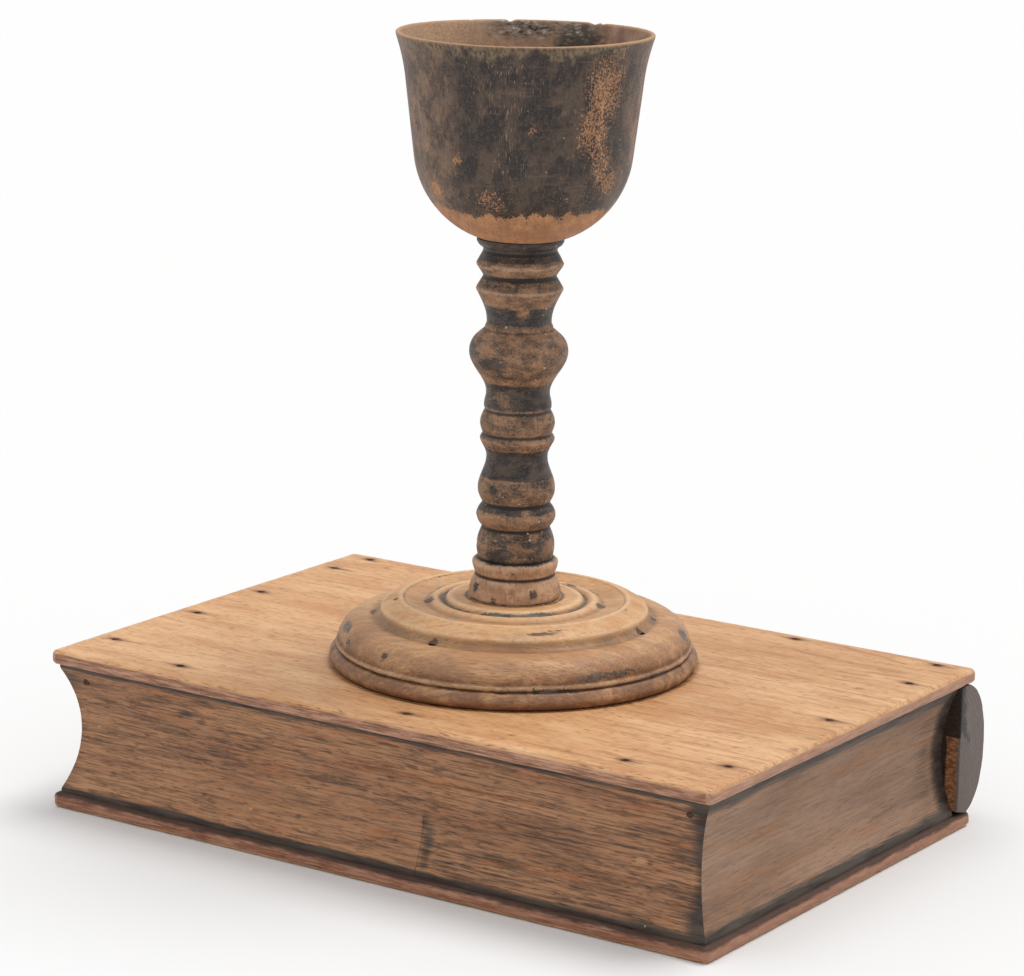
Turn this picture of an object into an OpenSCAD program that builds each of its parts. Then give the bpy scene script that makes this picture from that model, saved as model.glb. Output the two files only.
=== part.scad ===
// Wooden communion chalice standing on a plinth made like a closed book.
// The chalice is three turned pieces: bowl, stem and foot. The stem's long tenon goes down
// through the foot and the top cover into a bearer board, where a wedge spreads it.
// The book is a nailed box: two cover boards, three hollowed page-edge boards and a solid spine.
// Millimetres, +Z up, +X along the spine, +Y towards the spine.
// The origin is the centre of the bottom cover's underside.

/* [Book] */
// Length of the covers, along the spine
book_l = 400; // [370:1:430]
// Width of the covers, from fore edge to back edge
book_w = 263; // [245:1:280]
// Height over both covers
book_h = 85; // [78:1:95]
// Thickness of each cover
cover_t = 8; // [7:0.5:9]
// Rounding of the covers' long arrises
cover_round = 3; // [1:0.5:3.4]
// Radius of the covers' corners, seen from above
cover_corner = 3.5; // [2:0.5:8]
// Overhang of the covers past the page edges
overhang = 3.5; // [2:0.5:6]
// Thickness of the page-edge boards
edge_t = 20; // [16:1:24]
// Depth of the hollow worked in the page edges
hollow_d = 7.7; // [5:0.1:9]
// Flat left above and below the hollow
hollow_flat = 2; // [1:0.5:4]

/* [Spine] */
// Distance of the spine's flat face inside the covers' back edge
spine_in = 14.5; // [12:0.5:18]
// Distance of the spine's crown outside the covers' back edge
spine_out = 12.3; // [8:0.1:16]
// How full the spine's curve is: 2 is an ellipse, more is squarer
spine_full = 2.3; // [2:0.1:3]

/* [Fore edge repair] */
// Distance from the middle of the book to the repair strip's butt end
strip_end_x = 30; // [0:1:60]
// Height of the repair strip
strip_h = 29; // [20:1:34]

/* [Chalice] */
// Place of the chalice, right of the cover's centre
chalice_x = 2.5; // [-5:0.5:5]
// Place of the chalice, behind the cover's centre
chalice_y = -3.5; // [-5:0.5:5]
// Largest radius of the foot
foot_r = 95; // [85:1:100]
// Height of the foot
foot_h = 35; // [30:1:40]
// Height of the stem between foot and bowl
stem_h = 185.5; // [160:0.5:210]
// Radius of the stem's large knop
knop_r = 25.1; // [23:0.1:28]
// Radius of the tenon at the stem's lower end
tenon_r = 10; // [8:0.5:12]
// Radius of the tenon at the stem's upper end
pin_r = 8; // [6:0.5:9]

/* [Bowl] */
// Height of the bowl
bowl_h = 103.5; // [95:0.5:115]
// Radius of the rim
rim_r = 64.6; // [60:0.1:70]
// Thickness of the lip
lip_t = 2; // [1.5:0.1:4]
// Thickness of the bowl's floor
floor_t = 12; // [10:0.5:16]

/* [Nails] */
// Radius of a cut nail's shank
nail_r = 1.1; // [0.8:0.1:1.5]
// Radius of a cut nail's head
nail_head_r = 2; // [1.6:0.1:2.6]
// Length of the nails that hold the covers
cover_nail_l = 32; // [24:1:40]
// Depth of the nail heads below the wood
nail_sunk = 0.6; // [0.2:0.1:1.2]

/* [Hidden] */

$fn = 96;
eps = 0.02;                              // overcut that keeps a cut open
page_h = book_h - 2 * cover_t;           // height of the page edges
page_x = book_l / 2 - overhang;          // face of the head and tail edges
page_y = -book_w / 2 + overhang;         // face of the fore edge
chord_y = book_w / 2 - spine_in;         // the spine's flat face
hollow_h = page_h - 2 * hollow_flat;
hollow_r = (hollow_h * hollow_h / 4 + hollow_d * hollow_d) / (2 * hollow_d);
spine_t = spine_in + spine_out;
spine_gap = 0.5;                         // how far the spine's ends stay inside the covers
bearer = [176, 160, 22];                 // bearer board under the top cover
tenon_l = foot_h + cover_t + bearer[2];  // the stem's tenon, below its shoulder
pin_l = 8;                               // the stem's upper tenon
bowl_shift = [0.6, 0.4];                 // the bowl sits slightly off the stem's axis
seat_z = book_h + foot_h + stem_h;       // where the bowl rests on the stem
side_nail_x = book_l / 2 - 14;
fore_nail_y = -book_w / 2 + 16.5;
back_nail_y = book_w / 2 - 8.5;

// Nail places over the two ends and along the fore and back edges, as a hand spaced them
top_nails = concat(
  [for (y = [-96, -28, 28, 95]) [-side_nail_x, y]],
  [for (y = [-94, 2, 84]) [side_nail_x, y]],
  [for (x = [-127, 15, 142]) [x, fore_nail_y]],
  [for (x = [-182, -90, 5, 97, 181]) [x, back_nail_y]]);
bottom_nails = concat(
  [for (y = [-80, 0, 80]) for (s = [-1, 1]) [s * side_nail_x, y]],
  [for (x = [-120, 0, 120]) [x, fore_nail_y]],
  [for (x = [-150, -50, 50, 150]) [x, back_nail_y]]);
foot_nail_ring = 71.5 / 95 * foot_r;     // the nails stand in the foot's valley
foot_nail_z = book_h + 24 / 35 * foot_h; // height of the valley
foot_nail_l = 46;
foot_nail_angles = [7.5, 96, 184, 269.6]; // where they stand round the foot, from +X
corner_nail_x = [-181, 185];
corner_nail_z = book_h - 15.5;
corner_nail_l = 34;
strip_brad_x = [-165, -105, -45, 15];
strip_brad_z = cover_t + strip_h / 2;

// Outline helpers. Every point is [radius, height].

// Arc round c from angle a0 to a1
function arc(c, r, a0, a1, n = 14) =
  [for (i = [0:n]) let (a = a0 + (a1 - a0) * i / n) c + r * [cos(a), sin(a)]];

// Quarter of an ellipse round c, with half axes h
function quarter(c, h, n = 12) =
  [for (i = [0:n]) let (a = 90 * i / n) c + [h[0] * cos(a), h[1] * sin(a)]];

// From p towards q, swelling outwards by s halfway
function swell(p, q, s, n = 10) =
  [for (i = [0:n]) let (u = i / n) p + (q - p) * u + [s * sin(180 * u), 0]];

// From p to q in an S, upright at both ends
function ease(p, q, n = 10) =
  [for (i = [0:n]) let (u = i / n)
    [p[0] + (q[0] - p[0]) * (1 - cos(180 * u)) / 2, p[1] + (q[1] - p[1]) * u]];

// From p to q in a hollow quarter, upright at p
function cove(p, q, n = 8) =
  [for (i = [0:n]) let (u = i / n)
    [p[0] + (q[0] - p[0]) * (1 - cos(90 * u)), p[1] + (q[1] - p[1]) * u]];

// From p to q in a round quarter, upright at q
function crown(p, q, n = 8) =
  [for (i = [0:n]) let (u = i / n)
    [p[0] + (q[0] - p[0]) * sin(90 * u), p[1] + (q[1] - p[1]) * u]];

// Plan and section helpers

module rounded_rect(w, h, r) {
  square([w - 2 * r, h], center = true);
  square([w, h - 2 * r], center = true);
  for (x = [-1, 1], y = [-1, 1]) translate([x * (w / 2 - r), y * (h / 2 - r)]) circle(r, $fn = 48);
}

// A bar along X with its section drawn in Y and Z
module along_x(l) rotate([90, 0, 90]) translate([0, 0, -l / 2]) linear_extrude(l) children();

// A bar along Y with its section drawn in X and Z
module along_y(l) rotate([90, 0, 0]) translate([0, 0, -l / 2]) linear_extrude(l) children();

// A nail driven down from the origin, its head sunk below the surface
module nail(l) {
  head_t = 1;
  point_l = 5;
  translate([0, 0, -nail_sunk - head_t]) cylinder(h = head_t, r = nail_head_r, $fn = 32);
  translate([0, 0, -l + point_l]) cylinder(h = l - point_l - nail_sunk - head_t, r = nail_r, $fn = 32);
  translate([0, 0, -l]) cylinder(h = point_l, r1 = 0.3, r2 = nail_r, $fn = 32);
}

// The hole that a nail leaves
module nail_hole(l) {
  nail(l);
  translate([0, 0, -nail_sunk - eps]) cylinder(h = nail_sunk + 1, r = nail_head_r, $fn = 32);
}

module at_top_nails() for (p = top_nails) translate([p[0], p[1], book_h]) children();
module at_bottom_nails() for (p = bottom_nails) translate([p[0], p[1], 0]) mirror([0, 0, 1]) children();
module at_foot_nails()
  for (a = foot_nail_angles)
    translate([chalice_x, chalice_y, foot_nail_z])
      rotate([0, 0, a]) translate([foot_nail_ring, 0, 0]) children();
// Corner nails and brads are driven towards +Y from the fore edge's face
module at_corner_nails()
  for (x = corner_nail_x) translate([x, page_y + 1.6, corner_nail_z]) rotate([90, 0, 0]) children();
module at_strip_brads()
  for (x = strip_brad_x)
    translate([x, page_y + hollow_d - 1.5, strip_brad_z]) rotate([90, 0, 0]) children();

module at_chalice(z) translate([chalice_x, chalice_y, z]) children();

// Chalice

bowl_heel = [6.1, 46.7];                 // centre of the arc under the bowl
bowl_heel_r = 49;
wall_low = [54.8, 41];                   // where the heel's arc runs into the wall
wall_high = [59.2, 80];                  // where the wall runs into the flaring lip
lip_r = 95;                              // radius of the flare
wall_lean = atan2(wall_high[0] - wall_low[0], wall_high[1] - wall_low[1]);
lip_centre = wall_high + lip_r * [cos(wall_lean), -sin(wall_lean)];
lip_end = 180 - asin((bowl_h - lip_t / 2 - lip_centre[1]) / lip_r);
heel_start = -acos((21 - bowl_heel[0]) / bowl_heel_r);
inner_heel = [9, floor_t + 42];
inner_heel_r = 42;

module bowl() {
  k = rim_r / 64.6;
  outer = concat(
    arc(bowl_heel, bowl_heel_r, heel_start, -wall_lean),
    arc(lip_centre, lip_r, 180 - wall_lean, lip_end, 10));
  inner = concat(
    arc(lip_centre, lip_r + lip_t + 0.2, lip_end, 180 - wall_lean, 10),
    arc(inner_heel, inner_heel_r, -8, -90),
    [[0, floor_t]]);
  color("#4a3b32")
  translate([bowl_shift[0], bowl_shift[1], 0]) at_chalice(seat_z) difference() {
    rotate_extrude() scale([k, 1]) polygon(concat([[0, 0]], outer, inner));
    translate([-bowl_shift[0], -bowl_shift[1], -eps]) cylinder(h = pin_l + 0.5 + eps, r = pin_r);
  }
}

// The stem's turnings, from the shoulder on the foot up to the bowl's seat
function stem_outline() = concat(
  [[23.2, 0], [23.8, 1.4], [23.6, 3.4], [23.1, 5.6]],
  [[22.4, 8], [21.5, 10.2], [20.2, 11.9]],                         // rounded base
  [[20.2, 12.6], [21.2, 14.8], [21.9, 17], [22.1, 18.3]],
  [[21.7, 19.4], [20.6, 20.1], [18.8, 20.5]],                      // base ring, widest near its top
  swell([19.1, 21], [17.5, 36.4], 1.6), [[17.2, 36.9]],            // long bulb
  swell([17.5, 37.4], [17.5, 48.9], 2.8), [[17.2, 49.5]],          // round bead
  crown([17.5, 50.1], [19.7, 56.6]), ease([19.7, 57.2], [15.6, 73.3]),
  cove([15.6, 73.6], [18, 80.1]),                                  // bulb and its neck
  swell([18, 80.3], [17.9, 85.1], 1.1), [[17.5, 85.6]],            // thin ring
  swell([17.8, 86.1], [17.3, 96.7], 1.5), [[16.6, 97.6]],          // bead
  [[17.1, 99.1]], ease([17.2, 100.1], [16.2, 106.4], 6),           // lip and hollow
  ease([16.2, 106.7], [25.1, 127.5], 14),
  swell([25.1, 127.9], [17.6, 139.2], 2.2),                        // large knop
  [[17.3, 140], [17.1, 141.2], [16.5, 141.8]],                     // fillet
  cove([16.4, 143], [21.9, 159.1]), [[22.2, 159.7], [21.9, 160.4]],
  [[18.5, 166.1], [18.5, 166.7]],                                  // lower sharp ring
  [[21.9, 171.9], [22.2, 172.5], [21.9, 173.2]],
  [[18.8, 178.8], [18.6, 179.8]],                                  // upper sharp ring
  cove([18.8, 180.2], [21, 182.2], 4), [[22.1, 184], [22, 185.5]]); // collar

module stem_wedge_shape(extra = 0)
  // A thin wedge driven up into the tenon's lower end
  at_chalice(book_h - cover_t - bearer[2])
    along_y(2 * tenon_r + extra)
      polygon([[-1.8, -extra], [1.8, -extra], [0.5, 24], [-0.5, 24]]);

module stem() {
  outline = [for (p = stem_outline()) [p[0] * knop_r / 25.1, p[1] * stem_h / 185.5]];
  color("#5b4636")
  difference() {
    at_chalice(book_h + foot_h) {
      rotate_extrude() polygon(concat([[0, 0]], outline, [[0, stem_h]]));
      translate([0, 0, -tenon_l]) cylinder(h = tenon_l + eps, r = tenon_r);
      translate([0, 0, stem_h - eps]) cylinder(h = pin_l + eps, r = pin_r);
    }
    stem_wedge_shape(2);
  }
}

module stem_wedge() {
  color("#8a6a48")
  intersection() {
    stem_wedge_shape();
    at_chalice(0) cylinder(h = book_h, r = tenon_r);
  }
}

// The foot's turnings, from its underside round the edge and in to the seat
function foot_outline() = concat(
  swell([92.8, 0], [92.2, 8.4], 2.3),                              // bottom ring
  [[90.6, 8.9], [90.6, 9.5]],                                      // groove
  [[91.6, 9.9], [91.5, 11.5], [90.6, 12.3]],                       // fillet
  quarter([75, 12.4], [15.4, 12]),                                 // broad round
  [[74, 24.3]], arc([73.3, 29], 4.8, -90, -180, 8),                // valley
  [[68.3, 29.5]], swell([67.6, 30.1], [58.6, 34.3], 1.1, 8),       // upper round
  [[57.3, 34.2], [56.7, 33.3], [56.1, 33.6]],                      // incised line
  [for (i = [1:8]) let (u = i / 8) [56.1 - 8.6 * u, 33.6 - 2 * sin(90 * u)]],
  [[45.6, 31.6]],                                                  // dished groove
  [for (i = [1:6]) let (u = i / 6) [45.6 - 4.6 * u, 31.6 + 1.1 * (1 - cos(180 * u))]],
  [[40, 33.8], [37.4, 32.6], [35.9, 32.7]],                        // residue groove
  [[34.6, 34.5], [33.6, 35]]);                                     // raised seat

module foot() {
  outline = [for (p = foot_outline()) [p[0] * foot_r / 95, p[1] * foot_h / 35]];
  color("#c39366")
  difference() {
    at_chalice(book_h) difference() {
      rotate_extrude($fn = 128) polygon(concat([[0, 0]], outline, [[0, foot_h]]));
      translate([0, 0, -eps]) cylinder(h = foot_h + 2 * eps, r = tenon_r);
    }
    at_foot_nails() nail_hole(foot_nail_l);
  }
}

module foot_nails() color("#2c2622") at_foot_nails() nail(foot_nail_l);

// Book

module cover_board() {
  intersection() {
    along_x(book_l) translate([0, cover_t / 2]) rounded_rect(book_w, cover_t, cover_round);
    along_y(book_w) translate([0, cover_t / 2]) rounded_rect(book_l, cover_t, cover_round);
    linear_extrude(cover_t) rounded_rect(book_l, book_w, cover_corner);
  }
}

module top_cover() {
  color("#cf9d6c")
  difference() {
    translate([0, 0, book_h - cover_t]) cover_board();
    at_chalice(0) cylinder(h = book_h + 1, r = tenon_r);
    at_top_nails() nail_hole(cover_nail_l);
    at_foot_nails() nail(foot_nail_l);
  }
}

module bottom_cover() {
  color("#a9744a")
  difference() {
    cover_board();
    at_bottom_nails() nail_hole(cover_nail_l);
  }
}

// A board along X whose face, towards -Y at y = 0, is hollowed
module hollowed_board(l) {
  translate([0, 0, cover_t]) difference() {
    translate([-l / 2, 0, 0]) cube([l, edge_t, page_h]);
    translate([0, hollow_d - hollow_r, page_h / 2]) rotate([0, 90, 0])
      cylinder(h = l + 2, r = hollow_r, center = true, $fn = 180);
  }
}

// Plan of the fore-edge board, mitred at both ends
module fore_edge_plan()
  polygon([[-page_x, page_y], [page_x, page_y],
           [page_x - edge_t, page_y + edge_t], [-page_x + edge_t, page_y + edge_t]]);

// Plan of the tail board: mitred at the front, square against the spine
module tail_edge_plan()
  polygon([[page_x, page_y], [page_x, chord_y],
           [page_x - edge_t, chord_y], [page_x - edge_t, page_y + edge_t]]);

module fore_edge_stock() {
  intersection() {
    translate([0, page_y, 0]) hollowed_board(2 * page_x);
    linear_extrude(book_h) fore_edge_plan();
  }
}

// The space that the repair strip fills: the lower left of the fore edge
module strip_space()
  translate([-page_x - 1, page_y - 1, cover_t - 1])
    cube([page_x + 1 + strip_end_x, edge_t - 3, strip_h + 1]);

module fore_edge_board() {
  color("#7d5638")
  difference() {
    fore_edge_stock();
    strip_space();
    at_top_nails() nail(cover_nail_l);
    at_bottom_nails() nail(cover_nail_l);
    at_corner_nails() nail_hole(corner_nail_l);
    at_strip_brads() nail(14);
  }
}

module fore_edge_strip() {
  color("#865c3b")
  difference() {
    intersection() {
      fore_edge_stock();
      strip_space();
    }
    at_bottom_nails() nail(cover_nail_l);
    at_strip_brads() nail_hole(14);
  }
}

module end_board() {
  difference() {
    intersection() {
      translate([page_x, 0, 0]) rotate([0, 0, 90]) hollowed_board(book_w);
      linear_extrude(book_h) tail_edge_plan();
    }
    at_corner_nails() nail(corner_nail_l);
  }
}

module tail_edge_board() {
  color("#75543c")
  difference() {
    end_board();
    at_top_nails() nail(cover_nail_l);
    at_bottom_nails() nail(cover_nail_l);
  }
}

module head_edge_board() {
  color("#75543c")
  difference() {
    intersection() {
      mirror([1, 0, 0]) translate([page_x, 0, 0]) rotate([0, 0, 90]) hollowed_board(book_w);
      mirror([1, 0, 0]) linear_extrude(book_h) tail_edge_plan();
    }
    at_corner_nails() nail(corner_nail_l);
    at_top_nails() nail(cover_nail_l);
    at_bottom_nails() nail(cover_nail_l);
  }
}

// Half section of the spine: how far it stands out from its flat face at height v
spine_half = page_h / 2 + 1.5;           // half height of the full curve, cut by the covers
function spine_reach(v) =
  spine_t * pow(1 - pow(abs(v) / spine_half, spine_full), 1 / spine_full);

module spine_section() {
  steps = 28;
  polygon(concat(
    [[0, -page_h / 2]],
    [for (i = [0:steps]) let (v = page_h / 2 * sin(-90 + 180 * i / steps)) [spine_reach(v), v]],
    [[0, page_h / 2]]));
}

module spine() {
  color("#6f5440")
  difference() {
    translate([0, chord_y, cover_t + page_h / 2]) along_x(book_l - 2 * spine_gap) spine_section();
    at_top_nails() nail(cover_nail_l);
    at_bottom_nails() nail(cover_nail_l);
  }
}

module tenon_bearer() {
  color("#a27a50")
  difference() {
    translate([chalice_x - bearer[0] / 2, chalice_y - bearer[1] / 2, book_h - cover_t - bearer[2]])
      cube(bearer);
    at_chalice(0) cylinder(h = book_h, r = tenon_r);
    at_foot_nails() nail(foot_nail_l);
  }
}

// Triangular blocks glued upright into the box's four inner corners
module glue_blocks() {
  leg = 22;
  inner_x = page_x - edge_t;
  inner_front = page_y + edge_t;
  color("#a27a50")
  for (s = [-1, 1]) scale([s, 1, 1]) translate([0, 0, cover_t + 4]) linear_extrude(page_h - 8) {
    polygon([[inner_x, inner_front], [inner_x - leg, inner_front], [inner_x, inner_front + leg]]);
    polygon([[inner_x, chord_y], [inner_x - leg, chord_y], [inner_x, chord_y - leg]]);
  }
}

module top_cover_nails() color("#2c2622") at_top_nails() nail(cover_nail_l);
module bottom_cover_nails() color("#2c2622") at_bottom_nails() nail(cover_nail_l);
module corner_nails() color("#2c2622") at_corner_nails() nail(corner_nail_l);
module strip_brads() color("#2c2622") at_strip_brads() nail(14);

bowl();
stem();
stem_wedge();
foot();
foot_nails();
top_cover();
bottom_cover();
fore_edge_board();
fore_edge_strip();
head_edge_board();
tail_edge_board();
spine();
tenon_bearer();
glue_blocks();
top_cover_nails();
bottom_cover_nails();
corner_nails();
strip_brads();
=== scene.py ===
"""Looks of a turned wooden communion chalice on a plinth made like a closed book.

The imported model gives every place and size. Turned pieces are spun again from the outline of their
node, with a finer net, and the boards are worked again from their node's box, so that wear can be
cut into them. Lengths below are in metres, angles in degrees unless a name says otherwise.
Angles round the chalice are measured from +X towards +Y. The front is at about -56.
"""

import math

import bmesh
import bpy
import numpy as np
from mathutils import Matrix, Vector, noise
from mathutils.kdtree import KDTree


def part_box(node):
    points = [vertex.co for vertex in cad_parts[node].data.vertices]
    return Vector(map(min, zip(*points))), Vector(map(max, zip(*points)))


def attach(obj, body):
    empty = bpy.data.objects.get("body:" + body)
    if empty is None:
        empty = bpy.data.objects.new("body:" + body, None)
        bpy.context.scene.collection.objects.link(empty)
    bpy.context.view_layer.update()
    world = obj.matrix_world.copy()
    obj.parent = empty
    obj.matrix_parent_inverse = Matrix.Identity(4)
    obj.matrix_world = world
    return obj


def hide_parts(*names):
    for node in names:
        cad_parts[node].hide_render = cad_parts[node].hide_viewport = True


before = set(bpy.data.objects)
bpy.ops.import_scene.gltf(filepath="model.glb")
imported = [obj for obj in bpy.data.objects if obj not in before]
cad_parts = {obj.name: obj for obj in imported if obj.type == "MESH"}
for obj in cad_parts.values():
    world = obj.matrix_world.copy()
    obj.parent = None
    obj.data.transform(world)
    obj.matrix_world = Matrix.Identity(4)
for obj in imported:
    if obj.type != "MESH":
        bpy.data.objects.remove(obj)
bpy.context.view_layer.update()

MM = 0.001
BODY = "root"

# Camera: where it stands, how it is turned, and its lens
CAMERA_PLACE = (1.05292, -1.56380, 0.61156)
CAMERA_HEADING = 124.017   # the way it looks, from +X towards +Y
CAMERA_DIP = 13.029        # how far it looks down
CAMERA_ROLL = 0.958
CAMERA_LENS = 133.17
CAMERA_SENSOR = 36.0

# Driving sizes that the boxes of the nodes do not give
COVER_ROUND = 3 * MM       # rounding of the covers' arrises
HOLLOW_DEPTH = 7.7 * MM    # hollow worked in the page edges
HOLLOW_FLAT = 2 * MM       # flat above and below the hollow
SPINE_FULL = 2.3           # fullness of the spine's curve
SPINE_SPARE = 1.5 * MM     # the full curve is this much taller than the spine, each way
STRIP_END = 30 * MM        # butt end of the repair strip
STRIP_HEIGHT = 29 * MM
STRIP_DEPTH = 16 * MM
TENON_RADIUS = 10 * MM
NAIL_HEAD = 2 * MM
NAIL_SUNK = 0.6 * MM


# Mesh helpers


def add_object(name, mesh):
    piece = bpy.data.objects.new(name, mesh)
    bpy.context.scene.collection.objects.link(piece)
    return piece


def mesh_from(name, points, faces):
    mesh = bpy.data.meshes.new(name)
    mesh.from_pydata([tuple(p) for p in points], [], faces)
    mesh.update()
    return mesh


def points_of(mesh):
    co = np.empty(len(mesh.vertices) * 3, np.float32)
    mesh.vertices.foreach_get("co", co)
    return co.reshape(-1, 3).astype(float)


def normals_of(mesh):
    no = np.empty(len(mesh.vertices) * 3, np.float32)
    mesh.vertex_normals.foreach_get("vector", no)
    return no.reshape(-1, 3).astype(float)


def set_points(mesh, points):
    mesh.vertices.foreach_set("co", np.asarray(points, np.float32).ravel())
    mesh.update()


def clean(mesh, merge=1e-6):
    """Merges doubles and turns every face outwards"""
    net = bmesh.new()
    net.from_mesh(mesh)
    bmesh.ops.remove_doubles(net, verts=net.verts, dist=merge)
    bmesh.ops.dissolve_degenerate(net, edges=net.edges, dist=merge)
    bmesh.ops.recalc_face_normals(net, faces=net.faces)
    net.to_mesh(mesh)
    net.free()
    mesh.update()


def smooth(mesh, angle=38):
    mesh.shade_smooth()
    mesh.set_sharp_from_angle(angle=math.radians(angle))


def give_value(mesh, name, values):
    """A value for each vertex, which a material reads by its name"""
    layer = mesh.attributes.new(name, "FLOAT", "POINT")
    layer.data.foreach_set("value", np.asarray(values, np.float32))


def wave(points, size, seed, octaves=3):
    """Noise of about -1 to 1 at each point. size is its scale, one length or one for each axis"""
    scaled = points / np.asarray(size) + np.array([7.3, 3.1, 5.7]) * seed
    return np.array([noise.fractal(p, 1.0, 2.0, octaves) for p in scaled])


def soft_step(low, high, x):
    t = np.clip((x - low) / (high - low), 0, 1)
    return t * t * (3 - 2 * t)


def turn_gap(angle, centre):
    """Angle from centre, between -180 and 180"""
    return (angle - centre + 180) % 360 - 180


def bake_modifier(piece):
    """Turns the piece with its modifiers into a plain mesh"""
    shown = piece.evaluated_get(bpy.context.evaluated_depsgraph_get())
    mesh = bpy.data.meshes.new_from_object(shown)
    piece.modifiers.clear()
    piece.data = mesh
    return piece


def carve(piece, cutters, operation="DIFFERENCE"):
    """Cuts the joined cutters out of the piece"""
    points, faces = [], []
    for cutter_points, cutter_faces in cutters:
        start = len(points)
        points += [tuple(p) for p in cutter_points]
        faces += [[start + i for i in face] for face in cutter_faces]
    mesh = mesh_from("cutter", points, faces)
    net = bmesh.new()
    net.from_mesh(mesh)
    bmesh.ops.recalc_face_normals(net, faces=net.faces)
    net.to_mesh(mesh)
    net.free()
    tool = add_object("cutter", mesh)
    cut = piece.modifiers.new("cut", "BOOLEAN")
    cut.operation = operation
    cut.solver = "EXACT"
    cut.object = tool
    bake_modifier(piece)
    bpy.data.objects.remove(tool)


def drill(centre, axis, radius, depth, sides=20):
    """A cylinder cutter that goes into the surface along axis, with its mouth just outside"""
    axis = Vector(axis).normalized()
    side = axis.orthogonal().normalized()
    other = axis.cross(side)
    rings = []
    for level in (-0.5 * MM, depth):
        for i in range(sides):
            a = 2 * math.pi * i / sides
            rings.append(Vector(centre) + axis * level + (side * math.cos(a) + other * math.sin(a)) * radius)
    faces = [[i, (i + 1) % sides, sides + (i + 1) % sides, sides + i] for i in range(sides)]
    return rings, faces + [list(range(sides)), list(range(sides, 2 * sides))]


def block(low, high):
    points = [(x, y, z) for x in (low[0], high[0]) for y in (low[1], high[1]) for z in (low[2], high[2])]
    return points, [[0, 1, 3, 2], [4, 6, 7, 5], [0, 4, 5, 1], [2, 3, 7, 6], [0, 2, 6, 4], [1, 5, 7, 3]]


def crack(start, end, up, width, depth):
    """A thin wedge cutter along a line on a surface whose outward direction is up"""
    start, end, up = Vector(start), Vector(end), Vector(up)
    side = (end - start).cross(up).normalized() * width / 2
    middle = (start + end) / 2
    lift = up * 0.4 * MM
    points = [start + lift, middle - side + lift, end + lift, middle + side + lift, middle - up * depth]
    return points, [[0, 1, 2, 3], [0, 4, 1], [1, 4, 2], [2, 4, 3], [3, 4, 0]]


# Turned pieces


def section(node, centre, least=0.0):
    """Outline of a turned node as (radius, height) points, from the bottom up its outside"""
    net = bmesh.new()
    net.from_mesh(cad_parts[node].data)
    bmesh.ops.remove_doubles(net, verts=net.verts, dist=2e-6)
    everything = net.verts[:] + net.edges[:] + net.faces[:]
    bmesh.ops.bisect_plane(net, geom=everything, plane_co=(centre[0], centre[1], 0), plane_no=(0, 1, 0),
                           dist=1e-7, clear_inner=True, clear_outer=True)
    bmesh.ops.remove_doubles(net, verts=net.verts, dist=2e-6)
    halves = []
    for edge in net.edges:
        a, b = [Vector((v.co.x - centre[0], v.co.z)) for v in edge.verts]
        if max(a.x, b.x) <= least + 1e-7:
            continue
        if min(a.x, b.x) < least:
            near, far = (a, b) if a.x < b.x else (b, a)
            near = far + (near - far) * (far.x - least) / (far.x - near.x)
            a, b = near, far
        halves.append((a, b))
    net.free()
    return walk(halves)


def walk(edges):
    """Puts loose edges in order as one line of points"""
    def key(p):
        return round(p.x * 2e5), round(p.y * 2e5)
    links, place = {}, {}
    for a, b in edges:
        if key(a) == key(b):
            continue
        place[key(a)], place[key(b)] = a, b
        links.setdefault(key(a), []).append(key(b))
        links.setdefault(key(b), []).append(key(a))
    ends = sorted((k for k in links if len(links[k]) == 1), key=lambda k: (k[1], k[0]))
    first = ends[0] if ends else min(links, key=lambda k: (k[1], k[0]))
    line, last, here = [first], None, first
    while True:
        onward = [k for k in links[here] if k != last and (k not in line or k == first and len(line) > 2)]
        if not onward:
            break
        step = max(onward, key=lambda k: k[0]) if here == first else onward[0]
        if step == first:
            break
        last, here = here, step
        line.append(here)
    return np.array([[place[k].x, place[k].y] for k in line])


def fair(outline, spacing, corner=24, long=5 * MM, blunt=1):
    """Turns a faceted outline into a smooth line with even spacing. Corners stay, blunted by wear"""
    keep = [outline[0]]
    for p in outline[1:]:
        if np.hypot(*(p - keep[-1])) > 0.03 * MM:
            keep.append(p)
    line = np.array(keep)
    steps = np.diff(line, axis=0)
    length = np.hypot(*steps.T)
    heading = np.degrees(np.arctan2(steps[:, 1], steps[:, 0]))
    out = [line[0]]
    for i, (a, b) in enumerate(zip(line[:-1], line[1:])):
        before = i > 0 and abs((heading[i] - heading[i - 1] + 180) % 360 - 180) < corner
        after = i < len(steps) - 1 and abs((heading[i + 1] - heading[i] + 180) % 360 - 180) < corner
        straight = length[i] > long
        tangent_a = unit(line[i + 1] - line[i - 1]) if before and length[i - 1] < long else unit(b - a)
        tangent_b = unit(line[i + 2] - line[i]) if after and length[i + 1] < long else unit(b - a)
        count = max(1, round(length[i] / (3 * MM if straight else spacing)))
        for k in range(1, count + 1):
            t = k / count
            if straight:
                out.append(a + (b - a) * t)
            else:
                out.append(hermite(a, b, tangent_a * length[i], tangent_b * length[i], t))
    out = np.array(out)
    for _ in range(blunt):
        middle = out[1:-1] * 0.5 + (out[:-2] + out[2:]) * 0.25
        gap = np.hypot(*(out[2:] - out[:-2]).T)
        out[1:-1] = np.where((gap < 4 * spacing)[:, None], middle, out[1:-1])
    return out


def unit(v):
    return v / max(np.hypot(*v), 1e-12)


def hermite(a, b, ta, tb, t):
    return ((2 * t**3 - 3 * t**2 + 1) * a + (t**3 - 2 * t**2 + t) * ta
            + (-2 * t**3 + 3 * t**2) * b + (t**3 - t**2) * tb)


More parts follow.
